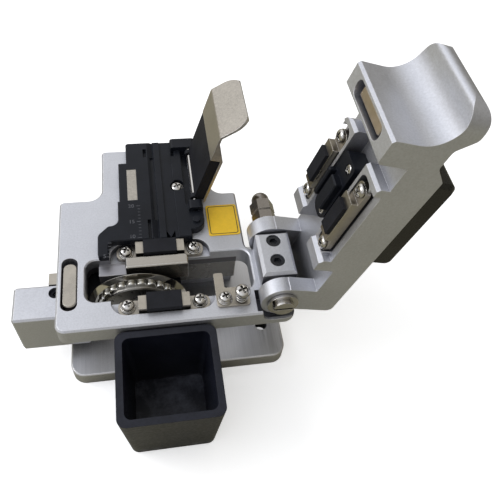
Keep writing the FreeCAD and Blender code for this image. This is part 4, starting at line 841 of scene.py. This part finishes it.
# Floor, light and camera
floorLook = {"color": (0.93, 0.93, 0.93), "patch": (0.92, 0.92, 0.92), "patches": 6,
             "bounce": (0.38, 0.36, 0.27), "roughness": 0.85, "metallic": 0.0, "size": 3.0,
             "glow": 0.42}
build = bmesh.new()
bmesh.ops.create_grid(build, x_segments=2, y_segments=2, size=floorLook["size"])
floorMesh = bpy.data.meshes.new("floor")
build.to_mesh(floorMesh)
build.free()
floorNet = Finish("pale floor", floorLook)
floorNet.inputs["Emission Color"].default_value = (1, 1, 1, 1)
floorNet.inputs["Emission Strength"].default_value = floorLook["glow"]
floorNet.color(floorNet.mix(floorNet.noise(floorLook["patches"], 2), floorLook["patch"],
                            floorLook["color"]))
dull = floorNet.add("ShaderNodeBsdfDiffuse", {}, {"Color": (*floorLook["bounce"], 1)})
seen = floorNet.add("ShaderNodeLightPath")  # pale as seen, duller as a reflection
pale = Wire(floorNet, floorNet.tree.nodes["Principled BSDF"].outputs[0])
both = floorNet.add("ShaderNodeMixShader", {}, {0: seen, 1: dull, 2: pale})
floorNet.feed(floorNet.tree.nodes["Material Output"].inputs["Surface"], both)
floorMesh.materials.append(floorNet.material)
inScene("floor", floorMesh)

sky = {
    "cool": (0.95, 0.98, 1.05), "warm": (1.02, 0.98, 0.88), "warmSpan": (-0.2, 0.4),
    "low": (0.30, 0.28, 0.25), "heightSpan": (0.05, 0.75),
    "sideSpan": (-0.45, 0.45), "sideLight": (1.2, 0.5), "backdrop": (0.93, 0.93, 0.93),
}
world = bpy.data.worlds.new("studio")
world.use_nodes = True
air = Net(world.node_tree)
x, _, z = air.axes(air.add("ShaderNodeTexCoord"))
high = air.mix(air.limits(x, *sky["warmSpan"]), sky["cool"], sky["warm"])  # warm on the right
background = world.node_tree.nodes["Background"]
air.feed(background.inputs["Color"],
         air.mix(air.limits(z, *sky["heightSpan"]), sky["low"], high))
air.feed(background.inputs["Strength"], air.limits(x, *sky["sideSpan"], *sky["sideLight"]))
backdrop = air.add("ShaderNodeBackground", {}, {"Color": (*sky["backdrop"], 1)})
direct = air.add("ShaderNodeLightPath")  # the pale backdrop is for what is seen past the floor
either = air.add("ShaderNodeMixShader", {}, {
    0: direct, 1: Wire(air, background.outputs[0]), 2: backdrop})
air.feed(world.node_tree.nodes["World Output"].inputs["Surface"], either)
scene.world = world

lamps = {
    "left": {"at": (-0.7, 0.15, 0.55), "size": 0.5, "power": 3.0},
    "back": {"at": (-0.15, 0.85, 0.35), "size": 0.9, "power": 0.9},
}
litPoint = Vector((0.005, 0.005, 0.03))
for name, lamp in lamps.items():
    light = bpy.data.lights.new(name, "AREA")
    light.size = lamp["size"]
    light.energy = lamp["power"]
    holder = inScene(name, light)
    holder.location = lamp["at"]
    holder.rotation_euler = (litPoint - holder.location).to_track_quat("-Z", "Y").to_euler()

shot = {
    "at": (-1.13 * mm, -75.18 * mm, 140.71 * mm), "yaw": -0.280, "pitch": -0.933, "roll": 0.150,
    "focalPixels": 573.2, "imagePixels": 500, "sensor": 36.0, "centrePixel": (251.16, 247.86),
    "nearest": 0.005,
}
level = Vector((math.cos(shot["yaw"]), math.sin(shot["yaw"]), 0))
forward = upward.cross(level) * math.cos(shot["pitch"]) + upward * math.sin(shot["pitch"])
upright = level.cross(forward)
right = level * math.cos(shot["roll"]) + upright * math.sin(shot["roll"])
up = upright * math.cos(shot["roll"]) - level * math.sin(shot["roll"])
lens = bpy.data.cameras.new("camera")
lens.sensor_width = shot["sensor"]
lens.lens = shot["focalPixels"] * shot["sensor"] / shot["imagePixels"]
lens.shift_x = (shot["imagePixels"] / 2 - shot["centrePixel"][0]) / shot["imagePixels"]
lens.shift_y = (shot["centrePixel"][1] - shot["imagePixels"] / 2) / shot["imagePixels"]
lens.clip_start = shot["nearest"]
camera = inScene("camera", lens)
axesOfCamera = Matrix((right, up, -forward)).transposed().to_4x4()
camera.matrix_world = Matrix.Translation(Vector(shot["at"])) @ axesOfCamera
scene.camera = camera
scene.view_settings.view_transform = "Standard"
print("floor, light and camera set")
